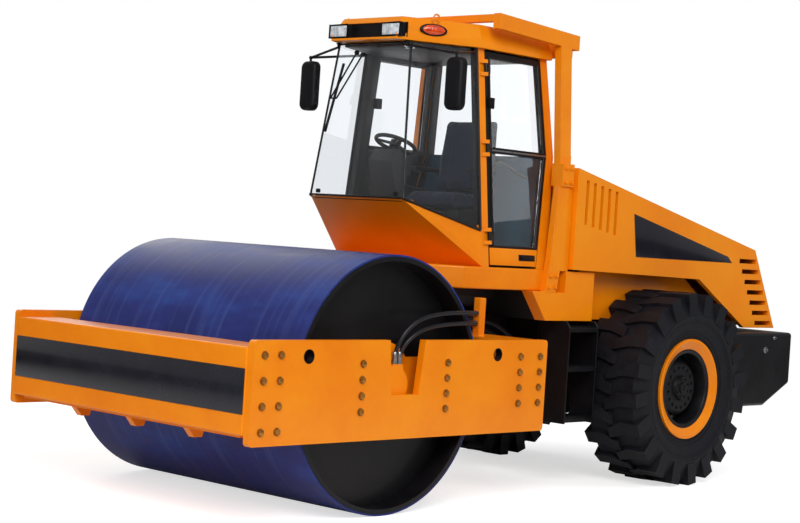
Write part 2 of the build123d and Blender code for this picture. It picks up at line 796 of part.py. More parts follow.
with BuildPart() as cab_pillars:
    leaning((
        (door_front_x, floor_z), (pillar_front_x, floor_z), (pillar_front_x, roof_z), (door_front_x, roof_z),
    ), 0, pillar_depth)
    leaning((
        (cab_rear_foot_x, floor_z), (door_rear_foot_x, floor_z), (door_rear_belt_x, belt_z),
        (door_rear_top_x, roof_z), (cab_rear_top_x, roof_z), (cab_rear_belt_x, belt_z),
    ), 0, pillar_depth)
    for height in hinge_heights:
        with BuildSketch(on_hinge(height - 20)) as pin:
            Circle(hinge_pin_r)
        extrude(amount=knuckle_height + 40)
        for end in (height - ear_height - 1, height + knuckle_height + 1):
            with BuildSketch(on_hinge(end)) as ear:
                with BuildLine():
                    ThreePointArc((0, knuckle_r), (-knuckle_r, 0), (0, -knuckle_r))
                    Polyline((0, -knuckle_r), (knuckle_r, -hinge_seat), (45, -hinge_seat),
                             (45, 6 - hinge_seat), (0, knuckle_r))
                make_face()
            extrude(amount=ear_height)
    mirror(cab_pillars.part, about=Plane.XZ)
save("cab_pillars", cab_pillars)

# Sloped panel under the windscreen, with a three-cornered panel at each side.
corner_foot = Vector(pillar_front_x, side_y(floor_z), floor_z)
corner_rear = Vector(
    pillar_front_x, side_y(corner_glass_z), corner_glass_z
)
screen_foot = Vector(screen_foot_x, screen_foot_y, screen_foot_z)
screen_top = Vector(screen_top_x, screen_top_y, roof_z)
pillar_top = Vector(pillar_front_x, side_y(roof_z), roof_z)
screen_way = screen_top - screen_foot
corner_inward = (screen_foot - corner_foot).cross(corner_rear - corner_foot).normalized() * -1
if corner_inward.X > 0:
    corner_inward = corner_inward * -1

with BuildPart() as cab_front_panel:
    slope_run = screen_foot_x - pillar_front_x
    slope_rise = screen_foot_z - floor_z
    panel_step = panel_thickness * hypot(slope_run, slope_rise) / slope_rise
    with BuildSketch(Plane.XZ) as slope:
        Polygon(
            (pillar_front_x, floor_z), (screen_foot_x, screen_foot_z),
            (screen_foot_x - panel_step, screen_foot_z), (pillar_front_x - panel_step, floor_z),
            align=None,
        )
    extrude(amount=sill_y, both=True)
    with BuildSketch(Plane.XY.offset(floor_z)) as plan:
        Polygon(
            (floor_rear_x, -sill_y), (pillar_front_x, -sill_y), (screen_foot_x, -screen_foot_y),
            (screen_foot_x, screen_foot_y), (pillar_front_x, sill_y), (floor_rear_x, sill_y),
            align=None,
        )
    extrude(amount=slope_rise, mode=Mode.INTERSECT)
    corner_face = Face(Wire.make_polygon([corner_foot, corner_rear, screen_foot], close=True))
    extrude(corner_face, amount=panel_thickness, dir=corner_inward)
    mirror(cab_front_panel.part, about=Plane.XZ)
    for side in (-1, 1):
        with Locations((pillar_front_x, side * sill_y, floor_z)):
            Box(300, 2 * pillar_depth, slope_rise,
                align=(Align.MAX, Align.CENTER, Align.MIN), mode=Mode.SUBTRACT)
    add(cab_pillars.part, mode=Mode.SUBTRACT)
    split(bisect_by=Plane.XY.offset(screen_foot_z), keep=Keep.BOTTOM)
    split(bisect_by=Plane.XY.offset(floor_z), keep=Keep.TOP)
save("cab_front_panel", cab_front_panel)

with BuildPart() as windscreen:
    pane = Face(Wire.make_polygon(
        [
            screen_foot, screen_top,
            Vector(screen_top_x, -screen_top_y, roof_z), Vector(screen_foot_x, -screen_foot_y, screen_foot_z),
        ],
        close=True,
    ))
    extrude(pane, amount=glass_thickness, dir=(-1, 0, 0))
save("windscreen", windscreen)

with BuildPart() as corner_glass:
    across = Vector(-0.65, -0.76, 0).normalized() * glass_thickness
    levels = []
    for z in (corner_glass_z - 150, roof_z):
        front = screen_foot + screen_way * ((z - screen_foot_z) / screen_way.Z)
        rear = Vector(pillar_front_x, side_y(z), z)
        ring = [front, rear, rear + across, front + across]
        with BuildSketch(Plane.XY.offset(z)) as section:
            Polygon(*[(p.X, p.Y) for p in ring], align=None)
        levels.append(section.sketch)
    loft(levels)
    cut_up = (screen_foot - corner_rear).cross(corner_inward)
    if cut_up.Z < 0:
        cut_up = cut_up * -1
    split(bisect_by=Plane(origin=screen_foot, z_dir=cut_up), keep=Keep.TOP)
    for neighbour in (windscreen, cab_pillars, cab_front_panel):
        add(neighbour.part, mode=Mode.SUBTRACT)
save_pair("corner_glass", corner_glass)


def between_pillars(foot_x, top_x, z_low, z_high, thickness):
    """Cross wall that fills the width between the rear pillars."""
    low = side_y(z_low) - pillar_depth
    high = side_y(z_high) - pillar_depth
    trimmed(
        ((foot_x, z_low), (foot_x + thickness, z_low), (top_x + thickness, z_high), (top_x, z_high)),
        ((-low, z_low), (low, z_low), (high, z_high), (-high, z_high)),
    )


with BuildPart() as cab_rear_wall:
    between_pillars(cab_rear_foot_x, cab_rear_belt_x, floor_z, belt_z, rear_wall_thickness)
save("cab_rear_wall", cab_rear_wall)

glass_inset = rear_wall_thickness / 2
with BuildPart() as rear_glass:
    between_pillars(cab_rear_belt_x + glass_inset, cab_rear_top_x + glass_inset, belt_z, roof_z, glass_thickness)
save("rear_glass", rear_glass)

# Half outlines of the roof: how far back or forward, and how far out.
roof_edge = ((cab_rear_top_x - 20, 560), (pillar_front_x - 10, 560), (screen_top_x + 120, 310))
roof_crown = ((cab_rear_top_x + 10, 520), (pillar_front_x - 12, 520), (screen_top_x + 40, 277))


def both_sides(half):
    """Closed outline from the points of its +Y half, rear to front."""
    return [*half, *[(x, -y) for x, y in reversed(half)]]


with BuildPart() as cab_roof:
    with BuildSketch(Plane.XY.offset(roof_z)) as eave:
        Polygon(*both_sides(roof_edge), align=None)
    extrude(amount=roof_eave)
    levels = []
    for z, half in ((roof_z + roof_eave, roof_edge), (roof_top_z, roof_crown)):
        with BuildSketch(Plane.XY.offset(z)) as section:
            Polygon(*both_sides(half), align=None)
        levels.append(section.sketch)
    loft(levels)
    recess_half_y = lamp_y + lamp_width / 2 + 6
    with Locations((lamp_rear_x, 0, lamp_bottom_z)):
        Box(recess_depth, 2 * recess_half_y, lamp_height + 8,
            align=(Align.MIN, Align.CENTER, Align.MIN), mode=Mode.SUBTRACT)
save("cab_roof", cab_roof)

with BuildPart() as work_lamps:
    with Locations((lamp_rear_x, lamp_y, lamp_bottom_z), (lamp_rear_x, -lamp_y, lamp_bottom_z)):
        Box(lamp_depth, lamp_width, lamp_height, align=(Align.MIN, Align.CENTER, Align.MIN))
save("work_lamps", work_lamps)

# ---------------------------------------------------------------- doors
def door_profile(front_inset, rear_inset, z_low, z_high):
    """Outline of a piece of the door, whose rear edge is kinked at the belt."""
    levels = [z_low, z_high]
    if z_low < belt_z < z_high:
        levels = [z_low, belt_z, z_high]
    rear = [
        (rear_edge(door_rear_foot_x, door_rear_belt_x, door_rear_top_x, z) + rear_inset, z) for z in levels
    ]
    front_x = door_front_x - front_inset
    return [(front_x, z_high), (front_x, z_low), *rear]


window_levels = (
    (door_bottom_z + door_rail, belt_z - door_belt_rail / 2),
    (belt_z + door_belt_rail / 2, door_top_z - door_frame),
)
pane_inset = door_gap + door_frame

with BuildPart() as door:
    leaning(door_profile(door_gap, door_gap, door_bottom_z, door_top_z), 0, door_thickness)
    for z_low, z_high in window_levels:
        with BuildSketch(Plane.XZ) as window:
            Polygon(*door_profile(pane_inset, pane_inset, z_low, z_high), align=None)
        extrude(amount=-2 * sill_y, mode=Mode.SUBTRACT)
    for height in hinge_heights:
        with BuildSketch(on_hinge(height)) as knuckle:
            with BuildLine():
                ThreePointArc((0, knuckle_r), (knuckle_r, 0), (0, -knuckle_r))
                Polyline((0, -knuckle_r), (-knuckle_r, -hinge_seat), (-60, -hinge_seat),
                         (-60, 6 - hinge_seat), (0, knuckle_r))
            make_face()
            Circle(hinge_pin_r + shaft_fit, mode=Mode.SUBTRACT)
        extrude(amount=knuckle_height)
save_pair("door", door)

with BuildPart() as door_glass:
    for z_low, z_high in window_levels:
        leaning(door_profile(pane_inset, pane_inset, z_low, z_high), 8, glass_thickness)
save_pair("door_glass", door_glass)

# ---------------------------------------------------------------- inside the cab
with BuildPart() as seat_base:
    with Locations(((seat_front_x + seat_rear_x) / 2 - 30, 0, floor_z)):
        Box(seat_front_x - seat_rear_x - 120, seat_width - 50, seat_base_top_z - floor_z,
            align=(Align.CENTER, Align.CENTER, Align.MIN))
save("seat_base", seat_base)

with BuildPart() as seat_cushion:
    with Locations(((seat_front_x + seat_rear_x) / 2, 0, seat_base_top_z + soft_gap)):
        Box(seat_front_x - seat_rear_x, seat_width, cushion_top_z - seat_base_top_z,
            align=(Align.CENTER, Align.CENTER, Align.MIN))
    fillet(seat_cushion.edges().filter_by(Axis.Z), 60)
    fillet(seat_cushion.edges().group_by(Axis.Z)[-1], 30)
save("seat_cushion", seat_cushion)

back_foot_z = cushion_top_z + soft_gap * 2
with BuildPart() as seat_back:
    with BuildSketch(Plane.XZ) as side:
        Polygon(
            (seat_rear_x + 20, back_foot_z), (seat_rear_x + 20 + seat_back_depth, back_foot_z),
            (seat_rear_x + 20 + seat_back_depth - seat_back_lean, seat_back_top_z),
            (seat_rear_x + 35 - seat_back_lean, seat_back_top_z),
            align=None,
        )
        fillet(side.vertices().group_by(Axis.Y)[-1], 40)
    extrude(amount=seat_width / 2, both=True)
    fillet(seat_back.edges().filter_by(Axis.Y, reverse=True).group_by(Axis.Y)[0], 25)
    fillet(seat_back.edges().filter_by(Axis.Y, reverse=True).group_by(Axis.Y)[-1], 25)
save("seat_back", seat_back)

column_way = Vector(-sin(radians(wheel_tilt)), 0, cos(radians(wheel_tilt)))
wheel_centre = Vector(wheel_centre_x, 0, wheel_centre_z)
with BuildPart() as steering_console:
    top = wheel_centre - column_way * 70
    with BuildSketch(Plane.XZ) as side:
        foot_x = pillar_front_x - panel_step
        back_x = foot_x + 250
        Polygon(
            (foot_x - 40, floor_z), (foot_x, floor_z),
            (back_x, floor_z + (back_x - foot_x) * slope_rise / slope_run),
            (top.X + 120, top.Z - 60), (top.X + 60, top.Z + 25), (top.X - 60, top.Z - 25),
            (top.X - 70, top.Z - 120), (top.X - 20, floor_z + 500), (foot_x - 40, floor_z + 90),
            align=None,
        )
    extrude(amount=110, both=True)
    with BuildSketch(Plane(origin=top, z_dir=column_way)) as column:
        Circle(column_r)
    extrude(amount=80)
save("steering_console", steering_console)

with BuildPart() as steering_wheel:
    wheel_face = Plane(origin=wheel_centre, x_dir=(0, 1, 0), z_dir=column_way)
    with BuildSketch(Plane(origin=wheel_centre, x_dir=column_way, z_dir=(0, 1, 0))) as grip:
        with Locations((0, wheel_rim_r)):
            Circle(wheel_grip_r)
    revolve(axis=Axis(wheel_centre, column_way))
    with BuildSketch(wheel_face.offset(-25)) as boss:
        Circle(38)
    extrude(amount=45)
    for angle in (90, 210, 330):
        with BuildSketch(wheel_face.offset(-6)) as spoke:
            with PolarLocations(wheel_rim_r / 2, 1, start_angle=angle):
                Rectangle(wheel_rim_r, 26)
        extrude(amount=12)
    with BuildSketch(wheel_face.offset(-25)) as bore:
        Circle(column_r + shaft_fit)
    extrude(amount=40, mode=Mode.SUBTRACT)
save("steering_wheel", steering_wheel)

# ---------------------------------------------------------------- mirrors
def rod(start, end, radius):
    with BuildSketch(Plane(origin=start, z_dir=end - start)) as section:
        Circle(radius)
    extrude(section.sketch, amount=(end - start).length)
    with Locations(end):
        Sphere(radius + rod_knot)


with BuildPart() as mirror_arm:
    apex = Vector(mirror_x, mirror_y, mirror_z + mirror_height / 2 + 25)
    for x, y in ((screen_top_x + 32, 325), (pillar_front_x + 30, 530)):
        hang = Vector(x, y, roof_z)
        rod(hang, hang - Vector(0, 0, 30), mirror_rod_r)
        rod(hang - Vector(0, 0, 30), apex, mirror_rod_r)
    rod(apex, Vector(mirror_x, mirror_y, mirror_z), mirror_rod_r)
    with Locations((mirror_x, mirror_y, mirror_z)):
        Box(mirror_depth, mirror_width, mirror_height)
save_pair("mirror", mirror_arm)

# ---------------------------------------------------------------- roll-over frame
rail_top_rear_z = roof_top_z + rail_rear_rise
rail_top_front_z = roof_top_z + rail_front_rise
rail_inner_y = post_top_y - post_width
with BuildPart() as rops_frame:
    with BuildSketch(Plane.XZ.offset(-column_outer_y)) as column:
        Polygon(
            (column_rear_foot_x, column_foot_z), (column_front_foot_x, column_foot_z),
            (column_front_waist_x, column_waist_z), (column_front_top_x, column_top_z),
            (column_rear_top_x, column_top_z), (column_rear_waist_x, column_waist_z),
            align=None,
        )
    extrude(amount=column_outer_y - column_inner_y)
    # Narrow cowl between the column and the hood.
    with BuildSketch(Plane.XZ.offset(-column_outer_y + 10)) as cowl:
        Polygon(
            (cowl_rear_x, housing_top_z), (column_rear_foot_x, housing_top_z),
            (column_rear_waist_x, column_waist_z), (column_rear_top_x, column_top_z),
            (column_rear_top_x, cowl_top_z), (cowl_rear_x, cowl_top_z),
            align=None,
        )
    extrude(amount=20)
    with Locations((flange_rear_x, post_foot_y - post_width, column_top_z)):
        Box(flange_front_x - flange_rear_x, flange_outer_y - post_foot_y + post_width,
            flange_top_z - column_top_z, align=(Align.MIN, Align.MIN, Align.MIN))
    levels = []
    for z, outer_y in ((flange_top_z, post_foot_y), (rail_top_rear_z - rail_height, post_top_y)):
        with BuildSketch(Plane.XY.offset(z)) as section:
            with Locations((post_rear_x, outer_y)):
                Rectangle(post_front_x - post_rear_x, post_width, align=(Align.MIN, Align.MAX))
        levels.append(section.sketch)
    loft(levels)
    with BuildSketch(Plane.XZ.offset(-post_top_y)) as rail:
        Polygon(
            (rail_rear_x, rail_top_rear_z - rail_height), (rail_front_x, rail_top_front_z - rail_height),
            (rail_front_x, rail_top_front_z), (rail_rear_x, rail_top_rear_z),
            align=None,
        )
    extrude(amount=post_width)
    mirror(rops_frame.part, about=Plane.XZ)
    with Locations((rail_front_x, 0, rail_top_front_z - 5)):
        Box(cross_bar_width, 2 * rail_inner_y, cross_bar_height, align=(Align.MAX, Align.CENTER, Align.MAX))
    with Locations((rail_rear_x, 0, rail_top_rear_z)):
        Box(cross_beam_width, 2 * rail_inner_y, cross_beam_height, align=(Align.MIN, Align.CENTER, Align.MAX))
save("rops_frame", rops_frame)

# ---------------------------------------------------------------- hood
# Side outline (x, z), from the front top corner round the tail to the front foot.
hood_outline = (
    (hood_front_x, hood_top_z), (hood_tail_x + hood_tail_slope, hood_top_z - hood_fall),
    (hood_tail_x, hood_foot_z), (hood_tail_x + hood_tail_foot, hood_foot_z),
    (axle_x - hood_arch_reach, hood_bottom_z - hood_seat_gap), (hood_front_x, hood_bottom_z),
)
with BuildSketch(Plane.XZ) as room:
    Polygon(*hood_outline, align=None)
    offset(amount=-hood_wall, kind=Kind.INTERSECTION)

# Air slots: middle of the first one, step to the next, size.
side_slots = ((hood_front_x - 116, hood_top_z - 239), (-side_slot_pitch, -15), (33, 314), side_slot_count)
tail_slots = ((hood_tail_x + 451, hood_top_z - 590), (-tail_slot_pitch, -82), (240, 35), tail_slot_count)
hood_pin_half = 52
with BuildPart() as hood:
    with BuildSketch(Plane.XZ) as outline:
        Polygon(*hood_outline, align=None)
    extrude(amount=hood_half_y, both=True)
    for drop in (0, -hood_wall - 20):
        extrude(room.sketch.moved(Location((0, 0, drop))), amount=hood_half_y - hood_wall, both=True,
                mode=Mode.SUBTRACT)
    for first, step, size, count in (side_slots, tail_slots):
        for i in range(count):
            with BuildSketch(Plane.XZ) as slot:
                with Locations((first[0] + step[0] * i, first[1] + step[1] * i)):
                    Rectangle(*size)
            extrude(amount=2 * hood_half_y, both=True, mode=Mode.SUBTRACT)
    for y in (-460, -380, 380, 460):
        with BuildSketch(Plane.XZ.offset(-y)) as lug:
            with Locations((hood_hinge_x, hood_hinge_z)):
                Circle(hood_lug_r)
            with Locations((hood_front_x, hood_top_z)):
                Rectangle(hood_hinge_x - hood_front_x, 45, align=(Align.MIN, Align.MAX))
            with Locations((hood_hinge_x, hood_hinge_z)):
                Circle(hood_pin_r + shaft_fit, mode=Mode.SUBTRACT)
        extrude(amount=10, both=True)
save("hood", hood)

with BuildPart() as hood_posts:
    for y in (-420, 420):
        with BuildSketch(Plane.XZ.offset(-y)) as upright:
            with Locations((hood_hinge_x, (housing_top_z + hood_hinge_z) / 2)):
                Rectangle(2 * hood_lug_r, hood_hinge_z - housing_top_z)
            with Locations((hood_hinge_x, hood_hinge_z)):
                Circle(hood_lug_r)
        extrude(amount=25, both=True)
        with BuildSketch(Plane.XZ.offset(-y)) as pin:
            with Locations((hood_hinge_x, hood_hinge_z)):
                Circle(hood_pin_r)
        extrude(amount=hood_pin_half, both=True)
save("hood_posts", hood_posts)

# ---------------------------------------------------------------- hoses
def hose(points):
    """Tube of straight runs joined by arcs as large as the runs allow."""
    route = [Vector(*p) for p in points]
    radii = []
    for before, here, after in zip(route, route[1:], route[2:]):
        turn = radians((here - before).get_angle(after - here))
        shorter = min((here - before).length, (after - here).length)
        radii.append(0.45 * shorter / tan(turn / 2))
    print("hose radii", [round(r) for r in radii])
    with BuildLine() as path:
        FilletPolyline(*route, radius=radii)
    with BuildSketch(Plane(origin=path.line @ 0, z_dir=path.line % 0)) as section:
        Circle(hose_r)
    sweep(section.sketch, path=path.line)


# From the drum motor out through the notch, then back along the plate to the post.
hose_start_y = plate_inner_y - 36
post_face_x = hose_post_x + hose_post_size / 2
with BuildPart() as motor_hose_upper:
    hose((
        (drum_x - 20, hose_start_y, fitting_top_z), (drum_x - 20, hose_start_y, 1010), (drum_x - 60, 1104, 1130),
        (drum_x - 180, 1122, 1218), (drum_x - 380, 1128, 1250), (1265, 1126, 1256), (1090, 1080, 1252),
        (960, 960, 1243), (880, 840, 1234), (800, hose_post_y, 1228), (post_face_x, hose_post_y, 1228),
    ))
save("motor_hose_upper", motor_hose_upper)

with BuildPart() as motor_hose_lower:
    hose((
        (drum_x - 62, hose_start_y, fitting_top_z), (drum_x - 62, hose_start_y, 1000), (drum_x - 106, 1106, 1092),
        (drum_x - 222, 1122, 1156), (drum_x - 410, 1128, 1182), (1250, 1124, 1188), (1080, 1070, 1184),
        (955, 950, 1176), (880, 835, 1169), (800, hose_post_y, 1165), (post_face_x, hose_post_y, 1165),
    ))
save("motor_hose_lower", motor_hose_lower)

# Over the centre joint, from the rear beam to the front of the chassis.
with BuildPart() as joint_hose_upper:
    hose((
        (690, 350, rear_beam_top_z), (690, 350, 1116), (630, 350, 1150), (480, 350, 1172), (260, 350, 1170),
        (40, 350, 1128), (-140, 350, 1040), (-250, 350, 952), (-300, 350, 930), (chassis_wide_x, 350, 930),
    ))
save("joint_hose_upper", joint_hose_upper)

with BuildPart() as joint_hose_lower:
    hose((
        (520, 285, rear_beam_top_z), (520, 285, 1104), (470, 285, 1126), (330, 285, 1130), (150, 285, 1106),
        (-20, 285, 1052), (-170, 285, 970), (-250, 285, 946), (-300, 285, 940), (chassis_wide_x, 285, 940),
    ))
save("joint_hose_lower", joint_hose_lower)
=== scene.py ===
import json
import math
from contextlib import contextmanager

import bmesh
import bpy
from mathutils import Matrix, Vector


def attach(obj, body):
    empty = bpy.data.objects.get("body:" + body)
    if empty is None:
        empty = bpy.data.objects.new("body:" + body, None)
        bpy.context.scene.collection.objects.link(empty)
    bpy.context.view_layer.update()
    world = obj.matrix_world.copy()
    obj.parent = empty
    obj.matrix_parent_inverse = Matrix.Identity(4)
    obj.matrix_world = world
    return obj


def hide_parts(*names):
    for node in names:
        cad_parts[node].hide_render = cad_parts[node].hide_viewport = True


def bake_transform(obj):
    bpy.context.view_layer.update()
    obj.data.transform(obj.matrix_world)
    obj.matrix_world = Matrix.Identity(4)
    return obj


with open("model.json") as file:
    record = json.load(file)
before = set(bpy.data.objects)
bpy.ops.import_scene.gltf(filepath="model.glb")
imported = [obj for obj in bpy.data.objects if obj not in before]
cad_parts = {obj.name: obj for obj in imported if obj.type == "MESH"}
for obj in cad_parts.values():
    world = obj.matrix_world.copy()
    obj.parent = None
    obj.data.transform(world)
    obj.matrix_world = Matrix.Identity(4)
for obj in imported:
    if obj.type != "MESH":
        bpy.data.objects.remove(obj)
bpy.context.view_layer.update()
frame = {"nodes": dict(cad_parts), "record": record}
nodes = frame["nodes"]
scene = bpy.context.scene
scene.view_settings.view_transform = "Standard"
sides = (("left", 1), ("right", -1))  # each side's name, and its way along Y
print("frame loaded:", len(nodes), "nodes")



def addObject(name, data):
    made = bpy.data.objects.new(name, data)
    scene.collection.objects.link(made)
    return made


# Where the camera stands, in metres, how it is turned, in degrees, and its lens in millimetres.
cameraSetup = {
    "place": (9.735, 8.529, 1.732), "yaw": -136.6625, "pitch": -0.913, "roll": 3.613,
    "lens": 80.19, "sensor": 36,
}


def makeCamera(setup):
    yaw, pitch, roll = (math.radians(setup[key]) for key in ("yaw", "pitch", "roll"))
    forward = Vector((math.cos(pitch) * math.cos(yaw), math.cos(pitch) * math.sin(yaw), math.sin(pitch)))
    right = forward.cross(Vector((0, 0, 1))).normalized()
    up = right.cross(forward)
    sideways = right * math.cos(roll) + up * math.sin(roll)
    upwards = up * math.cos(roll) - right * math.sin(roll)
    data = bpy.data.cameras.new("camera")
    data.sensor_width = setup["sensor"]
    data.lens = setup["lens"]
    camera = addObject("camera", data)
    turn = Matrix((sideways, upwards, -forward)).transposed().to_4x4()
    camera.matrix_world = Matrix.Translation(setup["place"]) @ turn
    scene.camera = camera


makeCamera(cameraSetup)
print("camera placed")


# Colours are written as the eye sees them and turned into light values here.
def linear(hexColour):
    parts = [int(hexColour[i:i + 2], 16) / 255 for i in (0, 2, 4)]
    return tuple(c / 12.92 if c <= 0.04045 else ((c + 0.055) / 1.055) ** 2.4 for c in parts) + (1.0,)


# Sets a node's inputs: a socket is linked, anything else is a fixed value.
def feed(tree, node, inputs):
    for key, value in inputs.items():
        if isinstance(value, bpy.types.NodeSocket):
            tree.links.new(value, node.inputs[key])
        else:
            node.inputs[key].default_value = value


# Adds a node; a colour ramp's stops are (place, hex colour).
def addNode(tree, kind, inputs, stops=(), **settings):
    node = tree.nodes.new(kind)
    for key, value in settings.items():
        setattr(node, key, value)
    feed(tree, node, inputs)
    if stops:
        points = node.color_ramp.elements
        while len(points) < len(stops):
            points.new(0.5)
        for point, (place, colour) in zip(points, stops):
            point.position = place
            point.color = linear(colour)
    return node


# A material's tree, its shader, and the place on the piece that its patterns read.
def openPaint(material):
    material.use_nodes = True
    tree = material.node_tree
    return tree, tree.nodes["Principled BSDF"], addNode(tree, "ShaderNodeTexCoord", {}).outputs["Object"]


# One finish: tones in patches, a fine grain as bump, and a gloss that varies with the patches.
# patch and grain are sizes in metres, depth is the grain's height in metres.
def makeFinish(name, look):
    material = bpy.data.materials.new(name)
    tree, shader, coords = openPaint(material)
    spread = addNode(tree, "ShaderNodeMapping", {"Vector": coords, "Scale": look.get("stretch", (1, 1, 1))})
    patches = addNode(tree, "ShaderNodeTexNoise", {
        "Vector": spread.outputs["Vector"], "Scale": 1 / look["patch"], "Detail": 6, "Roughness": 0.62,
    }).outputs["Fac"]
    low, high = look["roughness"]
    gloss = addNode(tree, "ShaderNodeMapRange", {
        "Value": patches, "From Min": 0.3, "From Max": 0.7, "To Min": low, "To Max": high,
    })
    grain = addNode(tree, "ShaderNodeTexNoise", {"Vector": coords, "Scale": 1 / look["grain"], "Detail": 3})
    bump = addNode(tree, "ShaderNodeBump", {
        "Height": grain.outputs["Fac"], "Strength": look["bump"], "Distance": look["depth"],
    })
    feed(tree, shader, {
        "Base Color": addNode(tree, "ShaderNodeValToRGB", {"Fac": patches}, look["tones"]).outputs["Color"],
        "Roughness": gloss.outputs["Result"], "Normal": bump.outputs["Normal"],
        "Metallic": look.get("metallic", 0), "Coat Weight": look.get("coat", 0), "Coat Roughness": 0.08,
        "Specular IOR Level": look.get("specular", 0.5), "Sheen Weight": look.get("sheen", 0),
    })
    return material


finishes = {
    # sprayed gloss enamel on steel plate: soft shine, faint tone shifts, and an orange peel that is drawn
    # 6 mm wide, since its real 2 mm is too fine to show
    "orangeEnamel": {
        "tones": ((0.30, "F58200"), (0.52, "FC8E00"), (0.75, "FF9B08")), "patch": 0.55, "grain": 0.006,
        "depth": 0.0003, "bump": 0.2, "roughness": (0.34, 0.46), "coat": 0.2, "specular": 0.3,
    },
    # the same paint on moulded panels: smoother, deeper in colour, with broad soft waves
    "orangeMoulding": {
        "tones": ((0.28, "F68400"), (0.5, "FD9000"), (0.78, "FF9D0C")), "patch": 0.9, "grain": 0.012,
        "depth": 0.0003, "bump": 0.15, "roughness": (0.3, 0.4), "coat": 0.25, "specular": 0.3,
    },
    # dark blue paint on rolled steel: dull, with lighter patches that run round the shell; the lighter blues are a
    # painted sheen of the drum's blue highlight
    "drumPaint": {
        "tones": ((0.30, "1E2660"), (0.5, "252F74"), (0.66, "29408A"), (0.85, "2F5E9E")), "patch": 0.3,
        "stretch": (1, 0.4, 1), "grain": 0.004, "depth": 0.0003, "bump": 0.25, "roughness": (0.42, 0.55),
        "specular": 0.3,
    },
    # semi-gloss black enamel on castings and plate: near black, greyer where dust lies
    "blackEnamel": {
        "tones": ((0.3, "08080B"), (0.6, "0E0E12"), (0.85, "1A1A20")), "patch": 0.2, "grain": 0.003,
        "depth": 0.0003, "bump": 0.2, "roughness": (0.35, 0.5), "coat": 0.08, "specular": 0.35,
    },
    # moulded tyre rubber: blue-black and matt, its blue a painted sheen of the tyre's bluish highlights, with a dusty
    # bloom
    "tyreRubber": {
        "tones": ((0.3, "0B0C12"), (0.6, "14151D"), (0.85, "232531")), "patch": 0.11, "grain": 0.0025,
        "depth": 0.0005, "bump": 0.35, "roughness": (0.5, 0.75), "specular": 0.35,
    },
    # black moulded plastic: matt, with a leather grain drawn 5 mm wide, since its real 1 mm doesn't show
    "blackPlastic": {
        "tones": ((0.3, "09090B"), (0.7, "121216")), "patch": 0.08, "grain": 0.005, "depth": 0.0001,
        "bump": 0.05, "roughness": (0.45, 0.6), "specular": 0.3,
    },
    # painted trim sheet inside the cab: dark blue-grey, without shine
    "cabTrim": {
        "tones": ((0.3, "1B3A4A"), (0.7, "24485A")), "patch": 0.15, "grain": 0.002, "depth": 0.0002,
        "bump": 0.2, "roughness": (0.55, 0.7), "specular": 0.3,
    },
    # cast iron and aluminium of the engine: grey, rough from the sand mould
    "engineCasting": {
        "tones": ((0.3, "4A4B4E"), (0.7, "68696C")), "patch": 0.09, "grain": 0.0015, "depth": 0.0006,
        "bump": 0.6, "roughness": (0.5, 0.7), "metallic": 0.7,
    },
    # black rubber of window seals, matt from extrusion
    "sealRubber": {
        "tones": ((0.3, "0C0C0E"), (0.7, "161618")), "patch": 0.06, "grain": 0.001, "depth": 0.0002,
        "bump": 0.3, "roughness": (0.5, 0.62),
    },
    # wrapped cover of the hydraulic hoses, a little glossier
    "hoseRubber": {
        "tones": ((0.3, "0D0D10"), (0.7, "1A1A20")), "patch": 0.05, "grain": 0.0012, "depth": 0.0002,
        "bump": 0.4, "roughness": (0.38, 0.5),
    },
    # gloss black vinyl of the blank stripe and wedge
    "blackVinyl": {
        "tones": ((0.3, "14141C"), (0.7, "1E1E28")), "patch": 0.3, "grain": 0.02, "depth": 0.0001,
        "bump": 0.15, "roughness": (0.22, 0.3), "coat": 0.3,
    },
    # hard chrome, ground and polished, of the steering rods: bright, almost a mirror
    "hardChrome": {
        "tones": ((0.3, "C9CACC"), (0.7, "DCDDDF")), "patch": 0.05, "grain": 0.0008, "depth": 0.00005,
        "bump": 0.2, "roughness": (0.08, 0.16), "metallic": 1,
    },
    # zinc-plated steel of nuts, clamps and fittings: pale grey metal with a soft shine
    "zincSteel": {
        "tones": ((0.3, "8F9093"), (0.7, "B3B4B6")), "patch": 0.03, "grain": 0.0012, "depth": 0.0001,
        "bump": 0.3, "roughness": (0.25, 0.4), "metallic": 0.95,
    },
    # yellow zinc plating of the big plate bolts: brassy, mottled from bolt to bolt
    "yellowZinc": {
        "tones": ((0.3, "9A6426"), (0.7, "D09648")), "patch": 0.02, "grain": 0.0015, "depth": 0.0001,
        "bump": 0.3, "roughness": (0.3, 0.45), "metallic": 0.8,
    },
    # silvered glass of the mirrors, very slightly tinted
    "mirrorFace": {
        "tones": ((0.3, "B8C4CC"), (0.7, "C8D2D8")), "patch": 0.3, "grain": 0.05, "depth": 0.0001,
        "bump": 0.05, "roughness": (0.02, 0.04), "metallic": 1,
    },
    # woven seat cloth, dark grey; the weave takes the grain's place
    "seatCloth": {
        "tones": ((0.3, "161C2A"), (0.7, "1F283A")), "patch": 0.05, "grain": 0.003, "depth": 0.0002,
        "bump": 0.2, "roughness": (0.8, 0.92), "sheen": 0.1, "specular": 0.2,
    },
    # moulded clear and amber plastic of the lamps, glossy over its ribs; the clear lens is opaque and pale, a painted
    # reflection of the silver reflector behind it
    "lampLens": {
        "tones": ((0.35, "AEB9C4"), (0.6, "F2F5F8")), "patch": 0.03, "grain": 0.004, "depth": 0.0002,
        "bump": 0.1, "roughness": (0.14, 0.22), "coat": 0.8, "specular": 0.6,
    },
    "amberLens": {
        "tones": ((0.35, "C22A06"), (0.6, "FF5A14")), "patch": 0.03, "grain": 0.004, "depth": 0.0002,
        "bump": 0.1, "roughness": (0.14, 0.22), "coat": 0.8, "specular": 0.6,
    },
}
paints = {name: makeFinish(name, look) for name, look in finishes.items()}

# Ground scuffs run round the drum, and the dust lies in bands across its length; their light blue is also a painted
# sheen of the drum's blue highlight.
drumScuffsAndSheen = {"stretch": (0.4, 9, 0.4), "scale": 2.2, "from": 0.52, "to": 0.8, "most": 0.35, "colour": "5A6FA6"}


